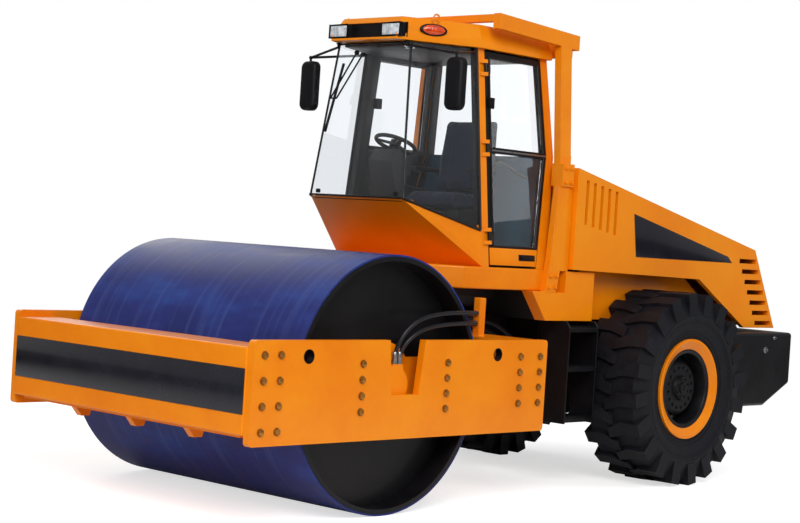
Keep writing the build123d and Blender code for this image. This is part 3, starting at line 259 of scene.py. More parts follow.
def paintDrumScuffsAndSheen(setup):
    # lighter blue streaks mixed into the paint: scuffs and dust, and painted sheen
    tree, shader, coords = openPaint(paints["drumPaint"])
    bands = addNode(tree, "ShaderNodeMapping", {"Vector": coords, "Scale": setup["stretch"]})
    streak = addNode(tree, "ShaderNodeTexNoise", {
        "Vector": bands.outputs["Vector"], "Scale": setup["scale"], "Detail": 7,
    })
    mask = addNode(tree, "ShaderNodeMapRange", {
        "Value": streak.outputs["Fac"], "From Min": setup["from"], "From Max": setup["to"], "To Max": setup["most"],
    })
    # a colour mix has its colours at inputs 6 and 7, and its result at output 2
    mixed = addNode(tree, "ShaderNodeMix", {
        "Factor": mask.outputs["Result"], 6: shader.inputs["Base Color"].links[0].from_socket,
        7: linear(setup["colour"]),
    }, data_type="RGBA")
    feed(tree, shader, {"Base Color": mixed.outputs[2]})


paintDrumScuffsAndSheen(drumScuffsAndSheen)

# Relief pressed in as waves, one for each way, and the highest counts: threads crossing on every face of the
# cushions, 3 mm apart, and the ribs of the moulded lenses. Pitch and depth are in metres.
waveReliefs = {
    "seatCloth": {"ways": "XYZ", "pitch": 0.003, "strength": 0.3, "depth": 0.0004},
    "lampLens": {"ways": "Y", "pitch": 0.012, "strength": 0.8, "depth": 0.0015},
    "amberLens": {"ways": "X", "pitch": 0.010, "strength": 0.8, "depth": 0.0015},
}
waveLength = 0.32  # what a wave texture repeats at when its scale is 1


def pressWaves(name, relief):
    tree, shader, coords = openPaint(paints[name])
    inputs = {"Vector": coords, "Scale": waveLength / relief["pitch"]}
    height = None
    for way in relief["ways"]:
        wave = addNode(tree, "ShaderNodeTexWave", inputs, bands_direction=way).outputs["Fac"]
        if height:
            wave = addNode(tree, "ShaderNodeMath", {0: height, 1: wave}, operation="MAXIMUM").outputs[0]
        height = wave
    bump = addNode(tree, "ShaderNodeBump", {
        "Height": height, "Strength": relief["strength"], "Distance": relief["depth"],
    })
    feed(tree, shader, {"Normal": bump.outputs["Normal"]})


for paintName, relief in waveReliefs.items():
    pressWaves(paintName, relief)

# Safety glass of the cab's panes, and the clear glass of the small lamps; both with a faint ripple.
glasses = {"cabGlass": {"tint": "FAFCFE", "roughness": 0.0}, "lampGlass": {"tint": "F4F6F8", "roughness": 0.02}}


def makeGlass(name, look):
    material = bpy.data.materials.new(name)
    tree, shader, coords = openPaint(material)
    ripple = addNode(tree, "ShaderNodeTexNoise", {"Vector": coords, "Scale": 5})
    bump = addNode(tree, "ShaderNodeBump", {"Height": ripple.outputs["Fac"], "Strength": 0.05, "Distance": 0.002})
    feed(tree, shader, {
        "Transmission Weight": 1, "IOR": 1.3, "Base Color": linear(look["tint"]),
        "Roughness": look["roughness"], "Normal": bump.outputs["Normal"],
    })
    return material


for glassName, look in glasses.items():
    paints[glassName] = makeGlass(glassName, look)
print("finishes mixed:", len(paints))

smoothAngle = 35


def block(bm, low, high):
    low, high = Vector(low), Vector(high)
    place = Matrix.Translation((low + high) / 2) @ Matrix.Diagonal((*(high - low), 1))
    bmesh.ops.create_cube(bm, size=1, matrix=place)


def ball(bm, place, radius, around, along):
    bmesh.ops.create_uvsphere(
        bm, u_segments=around, v_segments=along, radius=radius, matrix=Matrix.Translation(place),
    )


def alignedTo(start, way):
    return Matrix.Translation(start) @ Vector(way).to_track_quat("Z", "Y").to_matrix().to_4x4()


def pipe(bm, start, end, radius, steps=16, endRadius=None):
    start, end = Vector(start), Vector(end)
    bmesh.ops.create_cone(
        bm, cap_ends=True, segments=steps, radius1=radius, radius2=endRadius or radius,
        depth=(end - start).length, matrix=alignedTo((start + end) / 2, end - start),
    )


# A turned part: its profile's points are (distance along the axis, radius).
def turned(bm, centre, way, profile, steps):
    place = alignedTo(centre, way)
    verts = [bm.verts.new(place @ Vector((radius, 0, along))) for along, radius in profile]
    edges = [bm.edges.new(pair) for pair in zip(verts, verts[1:])]
    bmesh.ops.spin(
        bm, geom=verts + edges, cent=centre, axis=Vector(way).normalized(), angle=math.tau,
        steps=steps, use_merge=True,
    )


# A flat plate from its outline's points, given a thickness along a direction.
def plate(bm, points, thickness):
    face = bm.faces.new([bm.verts.new(point) for point in points])
    grown = bmesh.ops.extrude_face_region(bm, geom=[face], use_keep_orig=True)
    bmesh.ops.translate(
        bm, vec=thickness, verts=[item for item in grown["geom"] if isinstance(item, bmesh.types.BMVert)],
    )


# An upright plate on one side of the machine, from its outline as (x, z).
def sidePlate(bm, outline, sign, inner, thickness):
    plate(bm, [(x, sign * inner, z) for x, z in outline], (0, sign * thickness, 0))


def roundOver(bm, edges, width, segments, clamp=False):
    bmesh.ops.bevel(
        bm, geom=edges, offset=width, offset_type="OFFSET", segments=segments, profile=0.5,
        affect="EDGES", material=-1, clamp_overlap=clamp,
    )


def softenEdges(bm, width, segments=2, angle=30):
    bmesh.ops.remove_doubles(bm, verts=bm.verts, dist=1e-5)
    bmesh.ops.recalc_face_normals(bm, faces=bm.faces)
    roundOver(bm, [
        edge for edge in bm.edges
        if len(edge.link_faces) == 2 and edge.calc_face_angle(0) > math.radians(angle)
    ], width, segments, True)


# A hexagon head's own proportions: two heights as shares of its height, three radii as shares of its width.
boltShape = {"washerTop": 0.18, "chamferFoot": 0.9, "washer": 0.68, "corner": 0.56, "chamfer": 0.46}


# A hexagon bolt head on its washer, standing on a surface.
def boltHead(bm, place, way, width, height, shape=boltShape):
    way = Vector(way).normalized()
    place = Vector(place)
    washerTop, chamferFoot = (place + way * height * shape[key] for key in ("washerTop", "chamferFoot"))
    pipe(bm, place, washerTop, width * shape["washer"], 20)
    pipe(bm, washerTop, chamferFoot, width * shape["corner"], 6)
    pipe(bm, chamferFoot, place + way * height, width * shape["corner"], 6, width * shape["chamfer"])


# Turns a bmesh into a piece with its finish, on its body.
def settle(bm, name, body, paint):
    bmesh.ops.remove_doubles(bm, verts=bm.verts, dist=1e-6)
    bmesh.ops.recalc_face_normals(bm, faces=bm.faces)
    mesh = bpy.data.meshes.new(name)
    bm.to_mesh(mesh)
    bm.free()
    for polygon in mesh.polygons:
        polygon.use_smooth = True
    mesh.set_sharp_from_angle(angle=math.radians(smoothAngle))
    mesh.materials.append(paints[paint])
    piece = addObject(name, mesh)
    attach(piece, body)
    return piece


# Opens a bmesh for a piece, and when its shapes are in it, softens its edges and settles it.
@contextmanager
def shaping(name, body, paint, soft=0, segments=2, slotName=None):
    bm = bmesh.new()
    yield bm
    if soft:
        softenEdges(bm, soft, segments)
    settle(bm, name, body, paint)


# The same piece on each side of the machine: gives each bmesh to shape, with the side's way along Y.
# A star in the body's name stands for the side's name.
def onBothSides(name, body, paint, **more):
    for side, sign in sides:
        with shaping(name + side, body.replace("*", side), paint, **more) as bm:
            yield bm, sign


# A piece that is only blocks: each is its lower and its upper corner.
def settleBlocks(name, body, paint, blocks, soft=0):
    with shaping(name, body, paint, soft) as bm:
        for low, high in blocks:
            block(bm, low, high)


def meshOf(piece):
    bpy.context.view_layer.update()
    return bpy.data.meshes.new_from_object(piece.evaluated_get(bpy.context.evaluated_depsgraph_get()))


# A line through points, smooth or cornered.
def lineThrough(name, points, curved, closed=False, steps=12):
    line = bpy.data.curves.new(name + "Line", "CURVE")
    line.dimensions = "3D"
    line.resolution_u = steps
    line.use_fill_caps = True
    spline = line.splines.new("NURBS" if curved else "POLY")
    spline.points.add(len(points) - 1)
    for point, place in zip(spline.points, points):
        point.co = (*place, 1)
    spline.use_cyclic_u = closed
    if curved:
        spline.order_u = 3
        spline.use_endpoint_u = True
    return line


# Turns a line into a mesh by way of an object that isn't kept.
def meshFrom(line):
    holder = addObject("holder", line)
    mesh = meshOf(holder)
    bpy.data.objects.remove(holder)
    return mesh


# A round bar or a seal bent along points.
def barAlong(name, points, radius, body, paint, closed=False, curved=False):
    line = lineThrough(name, points, curved, closed)
    line.bevel_depth = radius
    line.bevel_resolution = 3
    bm = bmesh.new()
    bm.from_mesh(meshFrom(line))
    settle(bm, name, body, paint)


# Cords first: two hoses from the drum motor, two over the centre joint.
# Each route's points are in metres, and both its ends go into the machine.
hoses = {
    "motor_hose_upper": {
        "body": "front_frame", "points": (
            (1.825, 1.070, 0.932), (1.825, 1.070, 1.010), (1.785, 1.104, 1.130), (1.665, 1.122, 1.218),
            (1.465, 1.128, 1.250), (1.265, 1.126, 1.256), (1.090, 1.080, 1.252), (0.960, 0.960, 1.243),
            (0.880, 0.840, 1.234), (0.800, 0.760, 1.228), (0.727, 0.760, 1.228),
        ),
    },
    "motor_hose_lower": {
        "body": "front_frame", "points": (
            (1.783, 1.070, 0.932), (1.783, 1.070, 1.000), (1.739, 1.106, 1.092), (1.623, 1.122, 1.156),
            (1.435, 1.128, 1.182), (1.250, 1.124, 1.188), (1.080, 1.070, 1.184), (0.955, 0.950, 1.176),
            (0.880, 0.835, 1.169), (0.800, 0.760, 1.165), (0.727, 0.760, 1.165),
        ),
    },
    "joint_hose_upper": {
        "body": "rear_frame", "points": (
            (0.690, 0.350, 1.080), (0.690, 0.350, 1.116), (0.630, 0.350, 1.150), (0.480, 0.350, 1.172),
            (0.260, 0.350, 1.170), (0.040, 0.350, 1.128), (-0.140, 0.350, 1.040), (-0.250, 0.350, 0.952),
            (-0.300, 0.350, 0.930), (-0.355, 0.350, 0.930),
        ),
    },
    "joint_hose_lower": {
        "body": "rear_frame", "points": (
            (0.520, 0.285, 1.080), (0.520, 0.285, 1.104), (0.470, 0.285, 1.126), (0.330, 0.285, 1.130),
            (0.150, 0.285, 1.106), (-0.020, 0.285, 1.052), (-0.170, 0.285, 0.970), (-0.250, 0.285, 0.946),
            (-0.300, 0.285, 0.940), (-0.355, 0.285, 0.940),
        ),
    },
}
hoseRadius = 0.014
hoseSteps = 16  # along each stretch of the route
# The crimped end of a hose and its swivel nut; the ferrule's profile is (distance, radius).
hoseEnds = {
    "nut": 0.022, "nutRadius": 0.021,
    "ferrule": ((0, 0), (0, 0.016), (0.006, 0.0175), (0.048, 0.0175), (0.052, 0.0155), (0.052, 0)),
}


def layHose(name, hose):
    line = lineThrough(name, hose["points"], True, steps=hoseSteps)
    path = [tuple(vert.co) for vert in meshFrom(line).vertices]
    line.bevel_depth = hoseRadius
    line.bevel_resolution = 5
    line.materials.append(paints["hoseRubber"])
    if hose["body"] == "front_frame":
        path = None
        piece = addObject(name + "_tube", line)
        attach(piece, "front_frame")
    else:
        # the bend has to cross the joint, so the tube is made a mesh with its place baked in, and is put on no body
        piece = addObject(name + "_tube", meshFrom(line))
        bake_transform(piece)
    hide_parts(name)


def fitHoseEnds(name, hose, setup):
    for endName, first, second in (("Start", 0, 1), ("End", -1, -2)):
        start = Vector(hose["points"][first])
        way = (Vector(hose["points"][second]) - start).normalized()
        collar = start + way * setup["nut"]
        body = "front_frame" if endName == "Start" else hose["body"]
        with shaping(name + "Fitting" + endName, body, "zincSteel", slotName="hose_rubber") as bm:
            pipe(bm, start, collar, setup["nutRadius"], 6)
            turned(bm, collar, way, setup["ferrule"], 24)


for hoseName, hose in hoses.items():
    layHose(hoseName, hose)
for hoseName, hose in hoses.items():
    fitHoseEnds(hoseName, hose, hoseEnds)
print("hoses laid:", len(hoses))

# The CAD nodes' own finishes, by their slot, and those that differ from their slot's.
slotPaints = {
    "orange_paint": "orangeEnamel", "orange_panel": "orangeMoulding", "drum_paint": "drumPaint",
    "black_paint": "blackEnamel", "tyre_rubber": "tyreRubber", "cab_glass": "cabGlass",
    "engine_casting": "engineCasting", "black_plastic": "blackPlastic", "seat_cloth": "seatCloth",
    "lamp_lens": "lampGlass", "hose_rubber": "hoseRubber", "cylinder_paint": "blackEnamel",
    "chrome_rod": "hardChrome",
}
# the drum heads are black as painted shade of the drum's shaded ends
ownPaints = {
    "cab_rear_wall": "cabTrim", "yoke": "blackEnamel", "seat_base": "blackPlastic",
    "drum_heads": "blackEnamel", "front_scraper": "orangeEnamel", "hood_posts": "orangeEnamel",
}
nodeSlots = {part["node"]: part["material_slot"] for part in frame["record"]["subparts"]}
for nodeName, node in nodes.items():
    node.data.materials.clear()
    node.data.materials.append(paints[ownPaints.get(nodeName, slotPaints[nodeSlots[nodeName]])])

# Rolled and pressed edges: how far each flat-sided node's corners are rounded, in metres.
edgeWidths = {
    "side_plate_left": 0.006, "side_plate_right": 0.006, "front_beam": 0.012, "rear_beam": 0.008,
    "counterweight": 0.025, "cab_floor": 0.012, "cab_front_panel": 0.006, "cab_roof": 0.022,
    "tank_housing": 0.018, "rops_frame": 0.008, "engine_block": 0.02, "rear_chassis": 0.006,
    "chassis_neck": 0.01, "cab_pillars": 0.004, "door_left": 0.005, "door_right": 0.005,
    "hood": 0.014, "steering_console": 0.02, "steps_left": 0.003, "steps_right": 0.003,
    "seat_base": 0.02,
}
edgeRounding = {"merge": 0.00002, "flat": 1, "sharp": 32, "segments": 3}  # metres, degrees, degrees


def roundNode(name, width, setup=edgeRounding):
    node = nodes[name]
    node.modifiers.new("weld", "WELD").merge_threshold = setup["merge"]
    flatten = node.modifiers.new("flatten", "DECIMATE")
    flatten.decimate_type = "DISSOLVE"
    flatten.angle_limit = math.radians(setup["flat"])
    bevel = node.modifiers.new("bevel", "BEVEL")
    bevel.width = width
    bevel.segments = setup["segments"]
    bevel.limit_method = "ANGLE"
    bevel.angle_limit = math.radians(setup["sharp"])
    bevel.use_clamp_overlap = True
    for polygon in node.data.polygons:
        polygon.use_smooth = True
    node.modifiers.new("normals", "WEIGHTED_NORMAL").keep_sharp = True


for nodeName, width in edgeWidths.items():
    roundNode(nodeName, width)
print("nodes finished:", len(nodes))

# Front frame: bolts in columns down the side plates; a column is its x, its top z and its lowest z.
plateBolts = {
    "columns": (
        (2.975, 1.001, 0.565), (2.849, 1.001, 0.565), (2.183, 0.945, 0.658),
        (1.430, 0.945, 0.658), (0.721, 0.977, 0.672), (0.519, 0.977, 0.672),
    ),
    "rows": 4, "width": 0.036, "height": 0.016, "face": 1.156,
}


def boltPlates(setup):
    for bm, sign in onBothSides("plateBolts_", "front_frame", "yellowZinc"):
        for x, topZ, lowZ in setup["columns"]:
            for row in range(setup["rows"]):
                z = topZ + (lowZ - topZ) * row / (setup["rows"] - 1)
                boltHead(bm, (x, sign * setup["face"], z), (0, sign, 0), setup["width"], setup["height"])


boltPlates(plateBolts)

beamStripe = {"blocks": (((3.065, -1.10, 0.662), (3.069, 1.10, 0.922)),), "soft": 0.0015}
settleBlocks("beamStripe", "front_frame", "blackVinyl", **beamStripe)

# Hood: a blank dark wedge on each side, and the dark screens behind the air slots.
hoodWedge = {
    "outline": ((-0.947, 1.981), (-1.000, 1.665), (-2.284, 1.661), (-2.226, 1.708)),
    "face": 0.780, "thickness": 0.003, "soft": 0.001,
}
hoodScreen = {
    "outline": ((-0.320, 1.780), (-0.320, 2.215), (-0.780, 2.118), (-0.780, 1.780)),
    "face": 0.715, "thickness": 0.014,
}


for side, sign in sides:
    with shaping("hoodWedge_" + side, "hood", "blackVinyl", soft=hoodWedge["soft"]) as bm:
        sidePlate(bm, hoodWedge["outline"], sign, hoodWedge["face"], hoodWedge["thickness"])
    with shaping("hoodScreen_" + side, "hood", "blackPlastic", slotName="black_paint") as bm:
        sidePlate(bm, hoodScreen["outline"], sign, hoodScreen["face"], hoodScreen["thickness"])

# The cab's sides lean inwards from the sill, by this much for each metre above the floor.
cabSide = {"sill": 0.690, "lean": 0.1115, "floor": 1.540}


def onSide(x, sign, z, out):
    return Vector((x, sign * (cabSide["sill"] - cabSide["lean"] * (z - cabSide["floor"]) + out), z))


# A plate along the leaning side, from its outline as (x, z); a negative thickness goes inwards.
def leaningPlate(bm, outline, sign, out, thickness):
    plate(bm, [onSide(x, sign, z, out) for x, z in outline], (0, sign * thickness, 0))


# Rubber round the windscreen, the corner panes and both panes of each door.
paneSeals = {
    "windscreen": ((1.178, 0.436, 1.965), (1.080, 0.338, 3.010), (1.080, -0.338, 3.010), (1.178, -0.436, 1.965)),
    "screenRadius": 0.009,
    "cornerX": 0.628, "cornerHeights": ((1.80, 1.79), (2.40, 2.40), (3.01, 3.01)), "cornerRadius": 0.010,
    "footRear": (0.628, 1.79, 1.786), "footFront": (1.176, 0.443, 1.962), "footOut": 0.002,
    "door": {
        "Low": ((0.505, 1.685), (0.061, 1.685), (-0.060, 2.320), (0.505, 2.320)),
        "High": ((0.505, 2.350), (-0.058, 2.350), (-0.017, 2.967), (0.505, 2.967)),
    },
    "doorRadius": 0.0085, "doorOut": 0.001,
}


def sealPanes(setup):
    barAlong("windscreenSeal", setup["windscreen"], setup["screenRadius"], "rear_frame", "sealRubber", closed=True)
    for side, sign in sides:
        upright = [(setup["cornerX"], onSide(0, sign, at, 0).y, z) for at, z in setup["cornerHeights"]]
        barAlong("cornerSealRear_" + side, upright, setup["cornerRadius"], "rear_frame", "sealRubber")
        x, at, z = setup["footRear"]
        frontX, frontY, frontZ = setup["footFront"]
        foot = ((x, onSide(0, sign, at, setup["footOut"]).y, z), (frontX, sign * frontY, frontZ))
        barAlong("cornerSealFoot_" + side, foot, setup["cornerRadius"], "rear_frame", "sealRubber")
        for part, outline in setup["door"].items():
            points = [onSide(x, sign, z, setup["doorOut"]) for x, z in outline]
            name = "doorSeal" + part + "_" + side
            barAlong(name, points, setup["doorRadius"], "door_" + side, "sealRubber", closed=True)


sealPanes(paneSeals)

# The door's lower rail is a painted skin with a recessed handle, and a bright strip runs along its belt as a painted
# highlight of the belt crease:
# finish, slot, soft edge, then each plate as its outline in x and z, how far out it starts, and its thickness.
doorPlates = {
    "doorSkin_": (
        "orangeEnamel", "orange_paint", 0.001,
        (((0.541, 1.556), (0.052, 1.556), (0.030, 1.672), (0.541, 1.672)), 0.0005, 0.003),
    ),
    "doorHandle_": (
        "blackPlastic", "black_plastic", 0.003,
        (((0.236, 1.592), (0.060, 1.592), (0.060, 1.634), (0.236, 1.634)), 0.003, 0.003),
        (((0.216, 1.602), (0.110, 1.602), (0.110, 1.622), (0.216, 1.622)), 0.006, 0.014),
    ),
    # painted highlight: a bright zinc strip along the belt crease, where its highlight falls
    "doorBeltHighlight_": (
        "zincSteel", "orange_paint", 0.001,
        (((0.541, 2.329), (-0.096, 2.329), (-0.096, 2.341), (0.541, 2.341)), 0.0005, 0.004),
    ),
}
# The latch has a box outside the pane and one inside, each from one distance out to another.
doorLatch = {"x": 0.500, "z": 2.655, "width": 0.050, "height": 0.075, "boxes": ((0.001, 0.022), (-0.085, -0.041)),
             "soft": 0.005}
# The rail's points are x, z and the distance in from the side.
doorGrabRail = {
    "points": (
        (0.44, 1.80, 0.055), (0.45, 1.86, 0.100), (0.40, 2.20, 0.100),
        (0.30, 2.285, 0.095), (0.10, 2.19, 0.095), (0.06, 2.17, 0.050),
    ),
    "radius": 0.011,
}


def dressDoors(plates, latch, rail):
    half = Vector((latch["width"], 0, latch["height"])) / 2
    for side, sign in sides:
        door = "door_" + side
        for name, (paint, slotName, soft, *shapes) in plates.items():
            with shaping(name + side, door, paint, soft=soft, slotName=slotName) as bm:
                for outline, out, thickness in shapes:
                    leaningPlate(bm, outline, sign, out, thickness)
        with shaping("doorLatch_" + side, door, "blackPlastic", soft=latch["soft"]) as bm:
            for inner, outer in latch["boxes"]:
                middle = onSide(latch["x"], sign, latch["z"], inner)
                block(bm, middle - half, middle + half + Vector((0, sign * (outer - inner), 0)))
        points = [onSide(x, sign, z, -inwards) for x, z, inwards in rail["points"]]
        barAlong("doorGrabRail_" + side, points, rail["radius"], door, "blackEnamel", curved=True)


dressDoors(doorPlates, doorLatch, doorGrabRail)

# Clips at the windscreen's foot.
screenClips = {"y": 0.371, "half": 0.014, "x": (1.160, 1.182), "z": (1.976, 2.004), "soft": 0.003}
settleBlocks("screenClips", "rear_frame", "blackPlastic", [
    ((screenClips["x"][0], y - screenClips["half"], screenClips["z"][0]),
     (screenClips["x"][1], y + screenClips["half"], screenClips["z"][1]))
    for y in (screenClips["y"], -screenClips["y"])
], screenClips["soft"])

# Windscreen wiper: two arms side by side, each on its spindle's cap, and one long blade.
wiper = {
    "arms": (((1.089, -0.162, 2.949), (1.119, -0.360, 2.635)), ((1.090, -0.102, 2.934), (1.119, -0.301, 2.634))),
    "bar": 0.006, "cap": ((0, 0), (0, 0.017), (0.018, 0.015), (0.026, 0.008), (0.026, 0)), "capBack": 0.012,
    "blade": ((1.102, -0.266, 2.876), (1.146, -0.366, 2.399)), "holder": 0.007,
    "rubberHalf": 0.007, "rubberDepth": 0.008, "lipShare": 0.25, "lipDepth": 0.012, "soft": 0.0015,
}


def hangWiper(setup):
    start, end = (Vector(point) for point in setup["blade"])
    with shaping("wiperArms", "rear_frame", "blackEnamel", slotName="black_plastic") as bm:
        for root, tip in setup["arms"]:
            pipe(bm, root, tip, setup["bar"], 12)
            turned(bm, Vector(root) - Vector((setup["capBack"], 0, 0)), (1, 0, 0), setup["cap"], 20)
        first, second = (Vector(arm[1]) for arm in setup["arms"])
        pipe(bm, first, second, setup["bar"], 12)
        pipe(bm, (first + second) / 2, (start + end) / 2, setup["holder"], 12)
    back = Vector((-setup["lipDepth"], 0, 0))
    across = (end - start).cross(back).normalized() * setup["rubberHalf"]
    with shaping("wiperBlade", "rear_frame", "sealRubber", soft=setup["soft"]) as bm:
        for half, deep in ((across, (setup["rubberDepth"], 0, 0)), (across * setup["lipShare"], back)):
            plate(bm, (start - half, end - half, end + half, start + half), deep)


hangWiper(wiper)

# Roof: two square lamps side by side in their recess, with a frame round each lens; a black plate across the recess is
# painted shade of the shadowed roof front.
roofLamp = {
    "y": 0.247, "halfWidth": 0.088, "low": 3.040, "high": 3.132, "rear": 1.128, "front": 1.196,
    "bezel": 0.008, "bezelDepth": 0.020, "bodyBack": 0.016, "lensGap": 0.009, "lensBack": 0.014, "lensFront": 0.004,
    "soft": 0.003, "lensSoft": 0.002,
    # painted shade: a black plate across the recess, behind and between the lamps
    "recess": (((1.126, -0.345, 3.037), (1.130, 0.345, 3.138)),),
}


def fitRoofLamps(setup):
    low, high, front, bezel, gap = (setup[key] for key in ("low", "high", "front", "bezel", "lensGap"))
    bm = bmesh.new()
    glass = bmesh.new()
    for sign in (1, -1):
        right, left = (sign * setup["y"] + way * setup["halfWidth"] for way in (-1, 1))
        bezelBack = front - setup["bezelDepth"]
        block(bm, (setup["rear"], right, low), (front - setup["bodyBack"], left, high))
        for z in (low, high - bezel):
            block(bm, (bezelBack, right, z), (front, left, z + bezel))
        for y in (right, left - bezel):
            block(bm, (bezelBack, y, low), (front, y + bezel, high))
        block(glass, (front - setup["lensBack"], right + gap, low + gap),
              (front - setup["lensFront"], left - gap, high - gap))
    softenEdges(bm, setup["soft"])
    lamps = settle(bm, "roofLampHousings", "rear_frame", "blackPlastic")
    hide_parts("work_lamps")
    softenEdges(glass, setup["lensSoft"])
    settle(glass, "roofLampLenses", "rear_frame", "lampLens")
    settleBlocks("roofLampShade", "rear_frame", "blackPlastic", setup["recess"])


fitRoofLamps(roofLamp)

# An oval amber light on each front corner of the roof, and a lifting hook above it.
sideLight = {
    "middle": (0.950, 0.4145, 3.103), "along": (0.585, -0.250), "halfLength": 0.088, "halfHeight": 0.036,
    # how much larger than the lens, and how deep, then the finish
    "parts": {"Base": (1.16, 0.016, "blackPlastic"), "Lens": (1.0, 0.026, "amberLens")},
}
roofHook = {
    "foot": (-0.018, 0.004, 0.062), "radius": 0.006,  # the foot is measured from the light's middle
    "bend": ((-0.022, 0), (-0.022, 0.030), (-0.008, 0.044), (0.008, 0.044), (0.022, 0.030), (0.022, 0)),
}


def fitSideLights(light, hook):
    for side, sign in sides:
        mirror = Vector((1, sign, 1))
        middle = Vector(light["middle"]) * mirror
        along = Vector((light["along"][0], sign * light["along"][1], 0)).normalized()
        out = Vector((abs(along.y), sign * along.x, 0)).normalized()
        turn = Matrix((along, Vector((0, 0, 1)), out)).transposed().to_4x4()
        for word, (grow, deep, paint) in light["parts"].items():
            with shaping("sideLight" + word + "_" + side, "rear_frame", paint) as bm:
                shape = Matrix.Diagonal((light["halfLength"] * grow, light["halfHeight"] * grow, deep, 1))
                bmesh.ops.create_uvsphere(
                    bm, u_segments=32, v_segments=16, radius=1, matrix=Matrix.Translation(middle) @ turn @ shape,
                )
        foot = middle + Vector(hook["foot"]) * mirror
        points = [foot + along * step + Vector((0, 0, rise)) for step, rise in hook["bend"]]
        barAlong("roofHook_" + side, points, hook["radius"], "rear_frame", "orangeEnamel", curved=True)


fitSideLights(sideLight, roofHook)

# Mirrors: rounded heads on bent rods, with a silvered face to the rear.
mirrorHead = {
    "middle": (1.014, 0.693, 2.735), "size": (0.058, 0.150, 0.350), "corners": 0.048, "rim": 0.026,
    "roots": ((1.107, 0.325, 3.018), (0.650, 0.530, 3.018)), "drop": 0.030, "rise": 0.025, "rod": 0.009,
    "kneeBall": 0.0105, "topBall": 0.014, "nutWidth": 0.026, "nutHeight": 0.008, "nutSunk": 0.004,
    "faceEdge": (0.012, 0.014), "faceOut": 0.002, "faceSunk": 0.001, "faceCorners": 0.036,
}


def edgesAlongX(bm):
    return [edge for edge in bm.edges if abs(edge.verts[0].co.x - edge.verts[1].co.x) > 0.001]


def hangMirrors(setup):
    half = Vector(setup["size"]) / 2
    for side, sign in sides:
        mirror = Vector((1, sign, 1))
        middle = Vector(setup["middle"]) * mirror
        apex = middle + Vector((0, 0, half.z + setup["rise"]))
        bm = bmesh.new()
        block(bm, middle - half, middle + half)
        bmesh.ops.recalc_face_normals(bm, faces=bm.faces)
        roundOver(bm, edgesAlongX(bm), setup["corners"], 6)
        front = [edge for edge in bm.edges if min(vert.co.x for vert in edge.verts) > middle.x + half.x - 0.001]
        roundOver(bm, front, setup["rim"], 4)
        pipe(bm, apex, middle, setup["rod"])
        head = settle(bm, "mirrorHead_" + side, "rear_frame", "blackPlastic")
        with shaping("mirrorRods_" + side, "rear_frame", "blackEnamel", slotName="black_plastic") as bm:
            for place in setup["roots"]:
                root = Vector(place) * mirror
                knee = root - Vector((0, 0, setup["drop"]))
                pipe(bm, root, knee, setup["rod"])
                pipe(bm, knee, apex, setup["rod"])
                ball(bm, knee, setup["kneeBall"], 16, 8)
                nutPlace = root - Vector((0, 0, setup["nutSunk"]))
                boltHead(bm, nutPlace, (0, 0, -1), setup["nutWidth"], setup["nutHeight"])
            ball(bm, apex, setup["topBall"], 16, 8)
        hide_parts("mirror_" + side)
        with shaping("mirrorFace_" + side, "rear_frame", "mirrorFace") as bm:
            inset = half - Vector((0, *setup["faceEdge"]))
            block(bm, middle - inset - Vector((setup["faceOut"], 0, 0)),
                  middle + inset + Vector((setup["faceSunk"] - 2 * half.x, 0, 0)))
            roundOver(bm, edgesAlongX(bm), setup["faceCorners"], 6)


hangMirrors(mirrorHead)
print("cab dressed")

# Inside the cab: black boards behind the pillars, linings, floor mat and a lamp.
# A board is its outline as (x, z), how far in from the side it starts, and its thickness.
pillarTrim = {
    "boards": (
        (((0.547, 1.545), (0.623, 1.545), (0.623, 3.010), (0.547, 3.010)), 0.0415, 0.022),
        (((-0.066, 1.545), (0.045, 1.545), (-0.102, 2.335), (-0.056, 3.010), (-0.126, 3.010), (-0.176, 2.335)),
         0.0415, 0.022),
        (((0.6205, 1.82), (0.6235, 1.82), (0.6235, 3.010), (0.6205, 3.010)), 0.006, 0.054),
    ),
    "soft": 0.001,
}
roofLining = {"half": ((-0.105, 0.500), (0.600, 0.505), (1.050, 0.318)), "z": 2.994, "thickness": 0.022, "soft": 0.004}
# The sloped panel's lining, and the black band at the windscreen's foot.
frontLining = {
    "slope": ((0.600, -0.60, 1.556), (0.600, 0.60, 1.556), (1.118, 0.415, 1.948), (1.118, -0.415, 1.948)),
    "thickness": (-0.012, 0, 0.006), "band": ((1.060, -0.415, 1.940), (1.160, 0.415, 1.966)), "soft": 0.002,
}
floorMat = {
    "blocks": (
        ((0.40, -0.58, 1.541), (0.60, 0.58, 1.552)), ((0.0, -0.58, 1.541), (0.40, -0.24, 1.552)),
        ((0.0, 0.24, 1.541), (0.40, 0.58, 1.552)),
    ),
    "soft": 0.002,
}
doorBoard = {
    "outline": ((0.500, 1.690), (0.060, 1.690), (-0.056, 2.316), (0.500, 2.316)),
    "start": 0.022, "thickness": 0.014, "soft": 0.003,
}
cabLamp = {"blocks": (((0.985, 0.235, 2.975), (1.035, 0.305, 2.996)),), "soft": 0.004}


def trimCab(pillars, lining, front, board):
    for bm, sign in onBothSides("pillarTrim_", "rear_frame", "blackPlastic", soft=pillars["soft"]):
        for outline, start, thickness in pillars["boards"]:
            leaningPlate(bm, outline, sign, -start, -thickness)
    with shaping("roofLining", "rear_frame", "blackPlastic", soft=lining["soft"]) as bm:
        rim = [*lining["half"], *[(x, -y) for x, y in reversed(lining["half"])]]
        plate(bm, [(x, y, lining["z"]) for x, y in rim], (0, 0, lining["thickness"]))
    with shaping("frontPanelLining", "rear_frame", "blackPlastic", soft=front["soft"]) as bm:
        plate(bm, front["slope"], front["thickness"])
        block(bm, *front["band"])
    settleBlocks("floorMat", "rear_frame", "sealRubber", **floorMat)
    with shaping("doorBoard_right", "door_right", "blackPlastic", soft=board["soft"]) as bm:
        leaningPlate(bm, board["outline"], -1, -board["start"], -board["thickness"])
    settleBlocks("cabLamp", "rear_frame", "lampGlass", **cabLamp)


trimCab(pillarTrim, roofLining, frontLining, doorBoard)

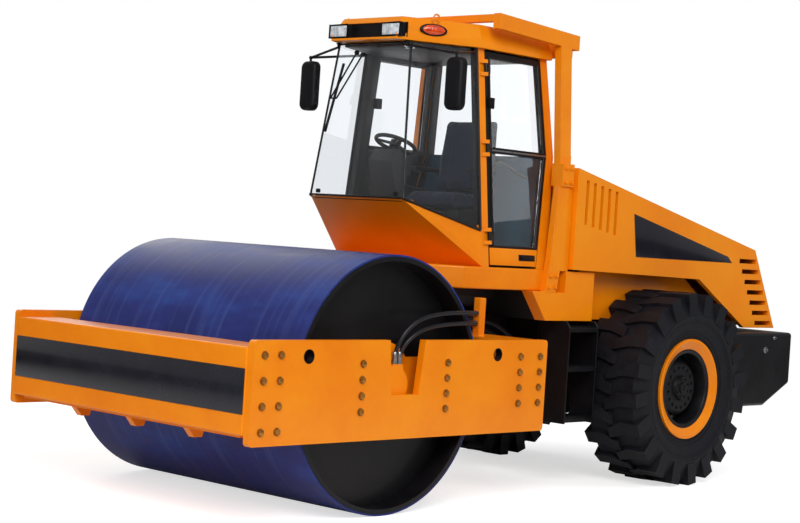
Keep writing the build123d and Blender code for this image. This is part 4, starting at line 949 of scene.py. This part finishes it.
# Levers and switches stand on a console at the driver's right hand.
sideConsole = {
    "y": -0.50, "width": 0.20, "soft": 0.014,
    "outline": (
        (0.02, 1.541), (0.46, 1.541), (0.50, 1.94), (0.56, 2.04), (0.52, 2.10), (0.12, 2.06), (0.02, 1.98),
    ),
}
# A lever is the x and y of its foot and how far it leans forward; the boot's profile is (height, radius).
consoleLevers = {
    "places": ((0.42, -0.36, 0.03), (0.34, -0.36, -0.02), (0.34, -0.43, 0.01)), "z": 2.065, "length": 0.14,
    "rod": 0.006, "knob": 0.021,
    "boot": ((0, 0), (0, 0.026), (0.012, 0.022), (0.020, 0.024), (0.034, 0.010), (0.034, 0)),
}
consoleSwitches = {
    "count": 5, "step": 0.028, "first": ((0.17, -0.455, 2.055), (0.190, -0.425, 2.078)), "soft": 0.002,
}


def buildConsole(console, levers, switches):
    with shaping("sideConsole", "rear_frame", "blackPlastic", soft=console["soft"], segments=3) as bm:
        plate(bm, [(x, console["y"], z) for x, z in console["outline"]], (0, console["width"], 0))
    with shaping("consoleLevers", "rear_frame", "blackEnamel", slotName="black_plastic") as bm:
        for x, y, lean in levers["places"]:
            foot = Vector((x, y, levers["z"]))
            tip = foot + Vector((lean, 0, levers["length"]))
            pipe(bm, foot, tip, levers["rod"], 12)
            turned(bm, foot, (0, 0, 1), levers["boot"], 20)
            ball(bm, tip, levers["knob"], 20, 12)
    with shaping("consoleSwitches", "rear_frame", "zincSteel", soft=switches["soft"], slotName="black_plastic") as bm:
        for i in range(switches["count"]):
            shift = Vector((switches["step"] * i, 0, 0))
            low, high = (Vector(corner) + shift for corner in switches["first"])
            block(bm, low, high)


buildConsole(sideConsole, consoleLevers, consoleSwitches)
print("cab trimmed")

# Seat: foam cushions swelled by a cloth run, then sewn channels pressed in.
cushions = {
    "seatCushion": {
        "node": "seat_cushion", "seams": (-0.125, 0.125), "across": 0.26, "front": (0, 0, 1),
        "outline": (
            (0.022, 1.944), (0.030, 2.006), (0.060, 2.022), (0.400, 2.028), (0.446, 2.008), (0.450, 1.955),
            (0.430, 1.941),
        ),
    },
    "seatBack": {
        "node": "seat_back", "seams": (-0.125, 0.125), "across": None, "front": (1, 0, 0.2),
        "outline": (
            (0.012, 2.056), (0.118, 2.056), (0.132, 2.120), (0.112, 2.300), (0.062, 2.540), (0.034, 2.582),
            (0.000, 2.575), (-0.004, 2.540),
        ),
    },
}
padding = {
    "halfWidth": 0.232, "edge": 0.022, "voxel": 0.006, "pressure": 4.0, "stretch": 15, "bend": 0.5,
    "cap": 0.013, "frames": 20, "seamWidth": 0.013, "seamDepth": 0.007, "seamFacing": 0.2,
}


def swell(piece):
    before = [vert.co.copy() for vert in piece.data.vertices]
    cloth = piece.modifiers.new("swell", "CLOTH")
    cloth.settings.quality = 5
    cloth.settings.tension_stiffness = padding["stretch"]
    cloth.settings.bending_stiffness = padding["bend"]
    cloth.settings.use_pressure = True
    cloth.settings.uniform_pressure_force = padding["pressure"]
    cloth.settings.effector_weights.gravity = 0
    for step in range(1, padding["frames"] + 1):
        scene.frame_set(step)
    mesh = meshOf(piece)
    piece.modifiers.clear()
    for vert, start, moved in zip(piece.data.vertices, before, mesh.vertices):
        shift = moved.co - start
        if shift.length > padding["cap"]:
            shift = shift.normalized() * padding["cap"]
        vert.co = start + shift
    bpy.data.meshes.remove(mesh)
    scene.frame_set(1)


# Presses a vertex in where it lies close to a seam line.
def sewn(vert, cushion, front):
    reach = padding["seamWidth"]
    near = [abs(vert.co.y - seam) for seam in cushion["seams"]]
    if cushion["across"] is not None:
        near.append(abs(vert.co.x - cushion["across"]))
    closest = min(near)
    if closest < reach and vert.normal.dot(front) > padding["seamFacing"]:
        vert.co -= vert.normal * padding["seamDepth"] * (1 - (closest / reach) ** 2)


def makeCushion(name, cushion):
    bm = bmesh.new()
    half = padding["halfWidth"]
    plate(bm, [(x, -half, z) for x, z in cushion["outline"]], (0, 2 * half, 0))
    softenEdges(bm, padding["edge"], 3, 60)
    mesh = bpy.data.meshes.new(name)
    bm.to_mesh(mesh)
    bm.free()
    piece = addObject(name, mesh)
    cells = piece.modifiers.new("cells", "REMESH")
    cells.mode = "VOXEL"
    cells.voxel_size = padding["voxel"]
    fine = meshOf(piece)
    piece.modifiers.clear()
    piece.data = fine
    swell(piece)
    front = Vector(cushion["front"]).normalized()
    for vert in piece.data.vertices:
        sewn(vert, cushion, front)
    for polygon in piece.data.polygons:
        polygon.use_smooth = True
    piece.data.materials.clear()
    piece.data.materials.append(paints["seatCloth"])
    smooth = piece.modifiers.new("smooth", "SUBSURF")
    smooth.levels = smooth.render_levels = 1
    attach(piece, "rear_frame")
    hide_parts(cushion["node"])


for cushionName, cushion in cushions.items():
    makeCushion(cushionName, cushion)

seatShell = {
    "outline": ((0.000, -0.205, 2.060), (0.000, 0.205, 2.060), (-0.022, 0.185, 2.545), (-0.022, -0.185, 2.545)),
    "thickness": (-0.014, 0, 0), "soft": 0.005,
}
armrests = {
    "y": 0.262, "half": 0.022, "x": (0.06, 0.34), "z": (2.185, 2.222), "soft": 0.008,
    "stayTop": (0.075, 0.262, 2.195), "stayFoot": (0.055, 0.240, 2.090), "stay": 0.010,
}


def fitSeatFrame(shell, rests):
    with shaping("seatShell", "rear_frame", "blackPlastic", soft=shell["soft"]) as bm:
        plate(bm, shell["outline"], shell["thickness"])
    with shaping("armrests", "rear_frame", "blackPlastic", soft=rests["soft"], segments=3) as bm:
        for side, sign in sides:
            (rear, front), (low, high), y = rests["x"], rests["z"], sign * rests["y"]
            block(bm, (rear, y - rests["half"], low), (front, y + rests["half"], high))
            mirror = Vector((1, sign, 1))
            pipe(bm, Vector(rests["stayTop"]) * mirror, Vector(rests["stayFoot"]) * mirror, rests["stay"])


fitSeatFrame(seatShell, armrests)
print("seat padded")

# Roll-over frame: painted bolts through its flanges and its feet, each as (x, z) with its face's distance out.
frameBolts = {
    "groups": (
        (0.765, ((-0.195, 2.160), (-0.130, 2.160), (-0.195, 2.260), (-0.130, 2.260))),
        (0.75, ((-0.105, 1.42), (-0.035, 1.42), (-0.115, 1.50), (-0.045, 1.50))),
    ),
    "width": 0.026, "height": 0.015,
}


with shaping("frameBolts", "rear_frame", "orangeEnamel") as bm:
    for side, sign in sides:
        for face, places in frameBolts["groups"]:
            for x, z in places:
                boltHead(bm, (x, sign * face, z), (0, sign, 0), frameBolts["width"], frameBolts["height"])

# Wheels: rings of bolt heads, each ring with its finish and count, then radius, face, width and height.
wheelPlace = {"x": -1.355, "z": 0.715}
wheelRings = {
    "rimNuts_": ("zincSteel", 12, 0.232, 0.885, 0.030, 0.026),
    "hubBolts_": ("blackEnamel", 16, 0.150, 1.003, 0.020, 0.012),
    "capBolts_": ("blackEnamel", 8, 0.068, 1.029, 0.014, 0.009),
}
# The black dish inside the painted ring, and the cap on the hub: distance along the axle, radius.
rimDish = (
    (0.8865, 0.202), (0.8865, 0.266), (1.0460, 0.2668), (1.0560, 0.2925), (1.0578, 0.2930), (1.0580, 0.2895),
    (1.0500, 0.2650), (1.0440, 0.2610), (0.9000, 0.2600), (0.8900, 0.252), (0.8900, 0.202), (0.8865, 0.202),
)
hubCap = (
    (1.029, 0), (1.029, 0.046), (1.039, 0.044), (1.045, 0.036), (1.045, 0.018), (1.051, 0.016), (1.051, 0),
)
# Moulded rings on the tyre's side: radius of the ring, its place along the axle, its own radius.
tyreRings = ((0.515, 1.107, 0.005), (0.495, 1.101, 0.003), (0.425, 1.080, 0.004), (0.398, 1.072, 0.005))
hoopSides = 10


def fitWheels():
    centre = Vector((wheelPlace["x"], 0, wheelPlace["z"]))
    turns = [math.tau * i / hoopSides for i in range(hoopSides + 1)]
    for side, sign in sides:
        wheel, outwards = "wheel_" + side, (0, sign, 0)
        for name, (paint, count, radius, face, width, height) in wheelRings.items():
            with shaping(name + side, wheel, paint) as bm:
                for i in range(count):
                    turn = math.tau * (i + 0.5) / count
                    x, z = wheelPlace["x"] + radius * math.cos(turn), wheelPlace["z"] + radius * math.sin(turn)
                    boltHead(bm, (x, sign * face, z), outwards, width, height)
        with shaping("rimDish_" + side, wheel, "blackEnamel") as bm:
            turned(bm, centre, outwards, rimDish, 72)
        for number, (radius, along, thick) in enumerate(tyreRings):
            hoop = [(along + thick * math.cos(turn), radius + thick * math.sin(turn)) for turn in turns]
            with shaping("tyreRing" + str(number) + "_" + side, wheel, "tyreRubber") as bm:
                turned(bm, centre, outwards, hoop, 96)
        with shaping("hubCap_" + side, wheel, "blackEnamel") as bm:
            turned(bm, centre, outwards, hubCap, 40)


fitWheels()
tyreEdge = 0.007
for side, sign in sides:
    roundNode("tyre_" + side, tyreEdge)
print("wheels fitted")

# Drum: a black skin inside each end of the shell, painted shade of the recess there, as distance along the axle and
# radius.
drumRecessShade = {
    "centre": (1.845, 0, 0.800), "profile": (
        (0.9170, 0.7612), (1.0660, 0.7612), (1.0660, 0.7880), (1.0680, 0.7870), (1.0685, 0.7600),
        (1.0640, 0.7570), (0.9170, 0.7570), (0.9170, 0.7612),
    ),
}


# painted shade inside each end of the drum
for bm, sign in onBothSides("drumRecessShade_", "drum", "blackEnamel"):
    turned(bm, drumRecessShade["centre"], (0, sign, 0), drumRecessShade["profile"], 128)

# The cab's underside, darkened as painted shade: a black skin on the housing's sloped front, and the two black floor
# beams.
undersideShade = {
    "top": (0.1435, 0, 1.388), "foot": (-0.0205, 0, 1.187), "half": (0, 0.655, 0), "skin": 0.003,
    "beamY": 0.35, "beamHalf": 0.042, "beam": ((0.086, 1.318), (0.762, 1.338), (0.762, 1.3895), (0.135, 1.3895)),
}


def shadeUnderside(setup):
    top, foot, half = (Vector(setup[key]) for key in ("top", "foot", "half"))
    # painted shade: black skin and beams where the cab floor shades the housing
    with shaping("housingFrontShade", "rear_frame", "blackEnamel") as bm:
        plate(bm, (top - half, top + half, foot + half, foot - half), (setup["skin"], 0, -setup["skin"]))
        for side, sign in sides:
            low = sign * setup["beamY"] - setup["beamHalf"]
            plate(bm, [(x, low, z) for x, z in setup["beam"]], (0, 2 * setup["beamHalf"], 0))


shadeUnderside(undersideShade)

# Wheel arches: a painted panel beside the engine, behind each tyre, with a shelf along its foot.
archPanel = {
    "inner": 0.598, "thickness": 0.005, "shelfInner": 0.42, "soft": 0.001,
    "outline": ((-0.557, 1.190), (-0.557, 1.590), (-1.840, 1.560), (-2.140, 1.370), (-2.140, 1.188)),
    "shelf": ((-0.60, 1.187), (-0.60, 1.193), (-2.14, 1.193), (-2.14, 1.187)),
}


for bm, sign in onBothSides("archPanel_", "rear_frame", "orangeEnamel", soft=archPanel["soft"]):
    sidePlate(bm, archPanel["outline"], sign, archPanel["inner"], archPanel["thickness"])
    sidePlate(bm, archPanel["shelf"], sign, archPanel["shelfInner"], archPanel["inner"] - archPanel["shelfInner"])

# Front frame: a black skin inside the lifting holes, painted shade of their bores, so thin that the holes stay open.
liftHoles = {
    "places": ((2.630, 0.991), (0.951, 0.991)), "inner": 1.1065, "profile": (
        (0, 0.0398), (0.050, 0.0398), (0.050, 0.0425), (0.0508, 0.0425), (0.0508, 0.0392), (0, 0.0392), (0, 0.0398),
    ),
}
# Steering cylinders: the gland round each rod, from pin to pin, as (distance, radius).
cylinderGlands = {
    "rearPin": (-0.305, 0.260, 0.800), "frontPin": (0.345, 0.240, 0.800), "profile": (
        (0.382, 0.0452), (0.384, 0.0490), (0.398, 0.0490), (0.4005, 0.0440), (0.408, 0.0420), (0.411, 0.0360),
        (0.411, 0.0256), (0.400, 0.0256), (0.382, 0.0452),
    ),
}


# painted shade inside each lifting hole
for bm, sign in onBothSides("liftHoleShade_", "front_frame", "blackEnamel"):
    for x, z in liftHoles["places"]:
        turned(bm, (x, sign * liftHoles["inner"], z), (0, sign, 0), liftHoles["profile"], 40)
for bm, sign in onBothSides("cylinderGland_", "steer_barrel_*", "zincSteel", slotName="cylinder_paint"):
    start, end = (Vector(cylinderGlands[pin]) * Vector((1, sign, 1)) for pin in ("rearPin", "frontPin"))
    turned(bm, start, end - start, cylinderGlands["profile"], 40)

# Counterweight: a lifting eye and a plug on each side, as (x, z, radius).
# The profile is (distance out, share of the radius); its last point is on the axis.
weightEyes = {
    "places": ((-2.666, 0.982, 0.026), (-2.788, 1.079, 0.016)), "face": 0.899,
    "profile": ((0, 0), (0, 1), (0.006, 1), (0.010, 0.8), (0.010, 0.45), (0.022, 0.4), (0.024, 0)),
}


with shaping("weightEyes", "rear_frame", "zincSteel") as bm:
    for side, sign in sides:
        for x, z, radius in weightEyes["places"]:
            profile = [(along, radius * share) for along, share in weightEyes["profile"]]
            turned(bm, (x, sign * weightEyes["face"], z), (0, sign, 0), profile, 28)

# Steps: grip bars along each tread, with teeth on them.
stepGrips = {
    "front": -0.225, "rear": -0.545, "levels": (1.140, 0.860, 0.500), "rows": (0.640, 0.700, 0.760, 0.805),
    "barHalf": 0.004, "barLow": -0.001, "barHigh": 0.007,
    "teeth": 10, "toothLength": 0.016, "toothHalf": 0.0041, "toothLow": 0.006, "toothHigh": 0.013,
}


def gripSteps(setup):
    rear, front, teeth = setup["rear"], setup["front"], setup["teeth"]
    half, toothHalf, reach = setup["barHalf"], setup["toothHalf"], setup["toothLength"] / 2
    for bm, sign in onBothSides("stepGrips_", "rear_frame", "blackEnamel"):
        for z, row in ((z, row) for z in setup["levels"] for row in setup["rows"]):
            y = sign * row
            block(bm, (rear, y - half, z + setup["barLow"]), (front, y + half, z + setup["barHigh"]))
            for i in range(teeth):
                x = rear + (front - rear) * (i + 0.5) / teeth
                block(bm, (x - reach, y - toothHalf, z + setup["toothLow"]),
                      (x + reach, y + toothHalf, z + setup["toothHigh"]))


gripSteps(stepGrips)

# Tail lamps: a box and a lens on each side; x is from and to, then the half width and the half height.
tailLamps = {
    "y": 0.700, "z": 0.985, "soft": 0.004,
    "box": ((-3.077, -3.063), 0.075, 0.036), "lens": ((-3.085, -3.073), 0.066, 0.028),
}
# The grille lies on the hood's sloped rear face, in shares of its length down and of its half width.
tailGrille = {
    "top": (-2.650, 0, 1.716), "foot": (-2.936, 0, 1.207), "halfWidth": 0.60,
    "rails": ((0.0, 0.05), (0.95, 1.0)), "side": 0.95, "frameHeight": 0.010,
    "bars": 13, "barStart": 0.07, "barSpan": 0.87, "barShare": 0.022, "barWidth": 0.96, "barHeight": 0.008,
    "backStart": 0.01, "backWidth": 0.98, "backHeight": 0.0015, "soft": 0.0012,
}
towPin = {
    "foot": (-3.000, 0, 1.120), "profile": (
        (0, 0), (0, 0.045), (0.012, 0.045), (0.018, 0.030), (0.018, 0.018), (0.060, 0.018), (0.066, 0.014), (0.066, 0),
    ),
}


def fitTailLamps(setup):
    for name, part, paint in (("Housings", "box", "blackPlastic"), ("Lenses", "lens", "amberLens")):
        (rear, front), halfWidth, halfHeight = setup[part]
        with shaping("tailLamp" + name, "rear_frame", paint, soft=setup["soft"]) as bm:
            for side, sign in sides:
                y, z = sign * setup["y"], setup["z"]
                block(bm, (rear, y - halfWidth, z - halfHeight), (front, y + halfWidth, z + halfHeight))


def slat(bm, high, low, right, left, thickness):
    plate(bm, (high + right, high + left, low + left, low + right), thickness)


def grillTail(setup):
    top, foot = Vector(setup["top"]), Vector(setup["foot"])
    down, half = foot - top, Vector((0, setup["halfWidth"], 0))
    out = Vector((down.z, 0, -down.x)).normalized()
    with shaping("tailGrille", "hood", "blackPlastic", soft=setup["soft"], segments=1) as bm:
        for start, end in setup["rails"]:
            slat(bm, top + down * start, top + down * end, -half, half, out * setup["frameHeight"])
        for side, sign in sides:
            edge = half * sign
            slat(bm, top, foot, edge, edge * setup["side"], out * setup["frameHeight"])
        edge = half * setup["barWidth"]
        for i in range(setup["bars"]):
            high = top + down * (setup["barStart"] + setup["barSpan"] * i / (setup["bars"] - 1))
            slat(bm, high, high + down * setup["barShare"], -edge, edge, out * setup["barHeight"])
        edge = half * setup["backWidth"]
        slat(bm, top + down * setup["backStart"], foot, -edge, edge, out * setup["backHeight"])


fitTailLamps(tailLamps)
grillTail(tailGrille)
with shaping("towPin", "rear_frame", "zincSteel") as bm:
    turned(bm, towPin["foot"], (0, 0, 1), towPin["profile"], 32)
print("tail dressed")

# Floor, light and white surround; the floor is lit paper inside the clearing and plain white outside it.
studio = {
    "floor": 60.0, "surround": 0.3, "floorLift": 0.62, "clearing": (4.5, 8.5), "roughness": 0.8,
    "tones": ((0, "E9E9E9"), (1, "000000")), "aim": (0, 0, 1.2),
    "lights": (
        {"name": "key", "place": (8.5, 9.5, 9.0), "size": 7.0, "power": 1150, "mirrored": True},
        {"name": "front", "place": (13.0, -1.0, 5.0), "size": 7.0, "power": 300, "mirrored": False},
        {"name": "rear", "place": (-9.0, 7.0, 6.5), "size": 6.0, "power": 420, "mirrored": False},
        {"name": "far", "place": (-3.0, -11.0, 7.0), "size": 7.0, "power": 380, "mirrored": True},
    ),
}


# 1 where the ray comes from the camera or through a pane, 0 elsewhere.
def seenDirectly(tree):
    rays = addNode(tree, "ShaderNodeLightPath", {}).outputs
    seen = {0: rays["Is Camera Ray"], 1: rays["Is Transmission Ray"]}
    return addNode(tree, "ShaderNodeMath", seen, operation="MAXIMUM").outputs[0]


def paintWorld(setup):
    scene.world = bpy.data.worlds.new("studio")
    scene.world.use_nodes = True
    tree = scene.world.node_tree
    strength = addNode(tree, "ShaderNodeMapRange", {
        "Value": seenDirectly(tree), "To Min": setup["surround"], "To Max": 1.0,
    })
    feed(tree, tree.nodes["Background"], {"Color": (1, 1, 1, 1), "Strength": strength.outputs["Result"]})


def layFloor(setup):
    bm = bmesh.new()
    bmesh.ops.create_grid(bm, x_segments=1, y_segments=1, size=setup["floor"] / 2)
    mesh = bpy.data.meshes.new("floor")
    bm.to_mesh(mesh)
    bm.free()
    floor = addObject("floor", mesh)
    material = bpy.data.materials.new("paleFloor")
    tree, shader, spot = openPaint(material)
    distance = addNode(tree, "ShaderNodeVectorMath", {0: spot}, operation="LENGTH").outputs["Value"]
    near, far = setup["clearing"]
    fade = addNode(tree, "ShaderNodeMapRange", {"Value": distance, "From Min": near, "From Max": far})
    fade = fade.outputs["Result"]
    lift = addNode(tree, "ShaderNodeMapRange", {"Value": fade, "To Min": setup["floorLift"], "To Max": 1.0})
    glow = {0: seenDirectly(tree), 1: lift.outputs["Result"]}
    feed(tree, shader, {
        "Roughness": setup["roughness"], "Specular IOR Level": 0, "Emission Color": (1, 1, 1, 1),
        "Emission Strength": addNode(tree, "ShaderNodeMath", glow, operation="MULTIPLY").outputs[0],
        "Base Color": addNode(tree, "ShaderNodeValToRGB", {"Fac": fade}, setup["tones"]).outputs["Color"],
    })
    mesh.materials.append(material)


def hangLights(setup):
    for light in setup["lights"]:
        data = bpy.data.lights.new(light["name"], "AREA")
        data.size = light["size"]
        data.energy = light["power"]
        lamp = addObject(light["name"], data)
        lamp.visible_glossy = light["mirrored"]
        place = Vector(light["place"])
        lamp.matrix_world = alignedTo(place, place - Vector(setup["aim"]))


paintWorld(studio)
layFloor(studio)
hangLights(studio)
print("studio lit")
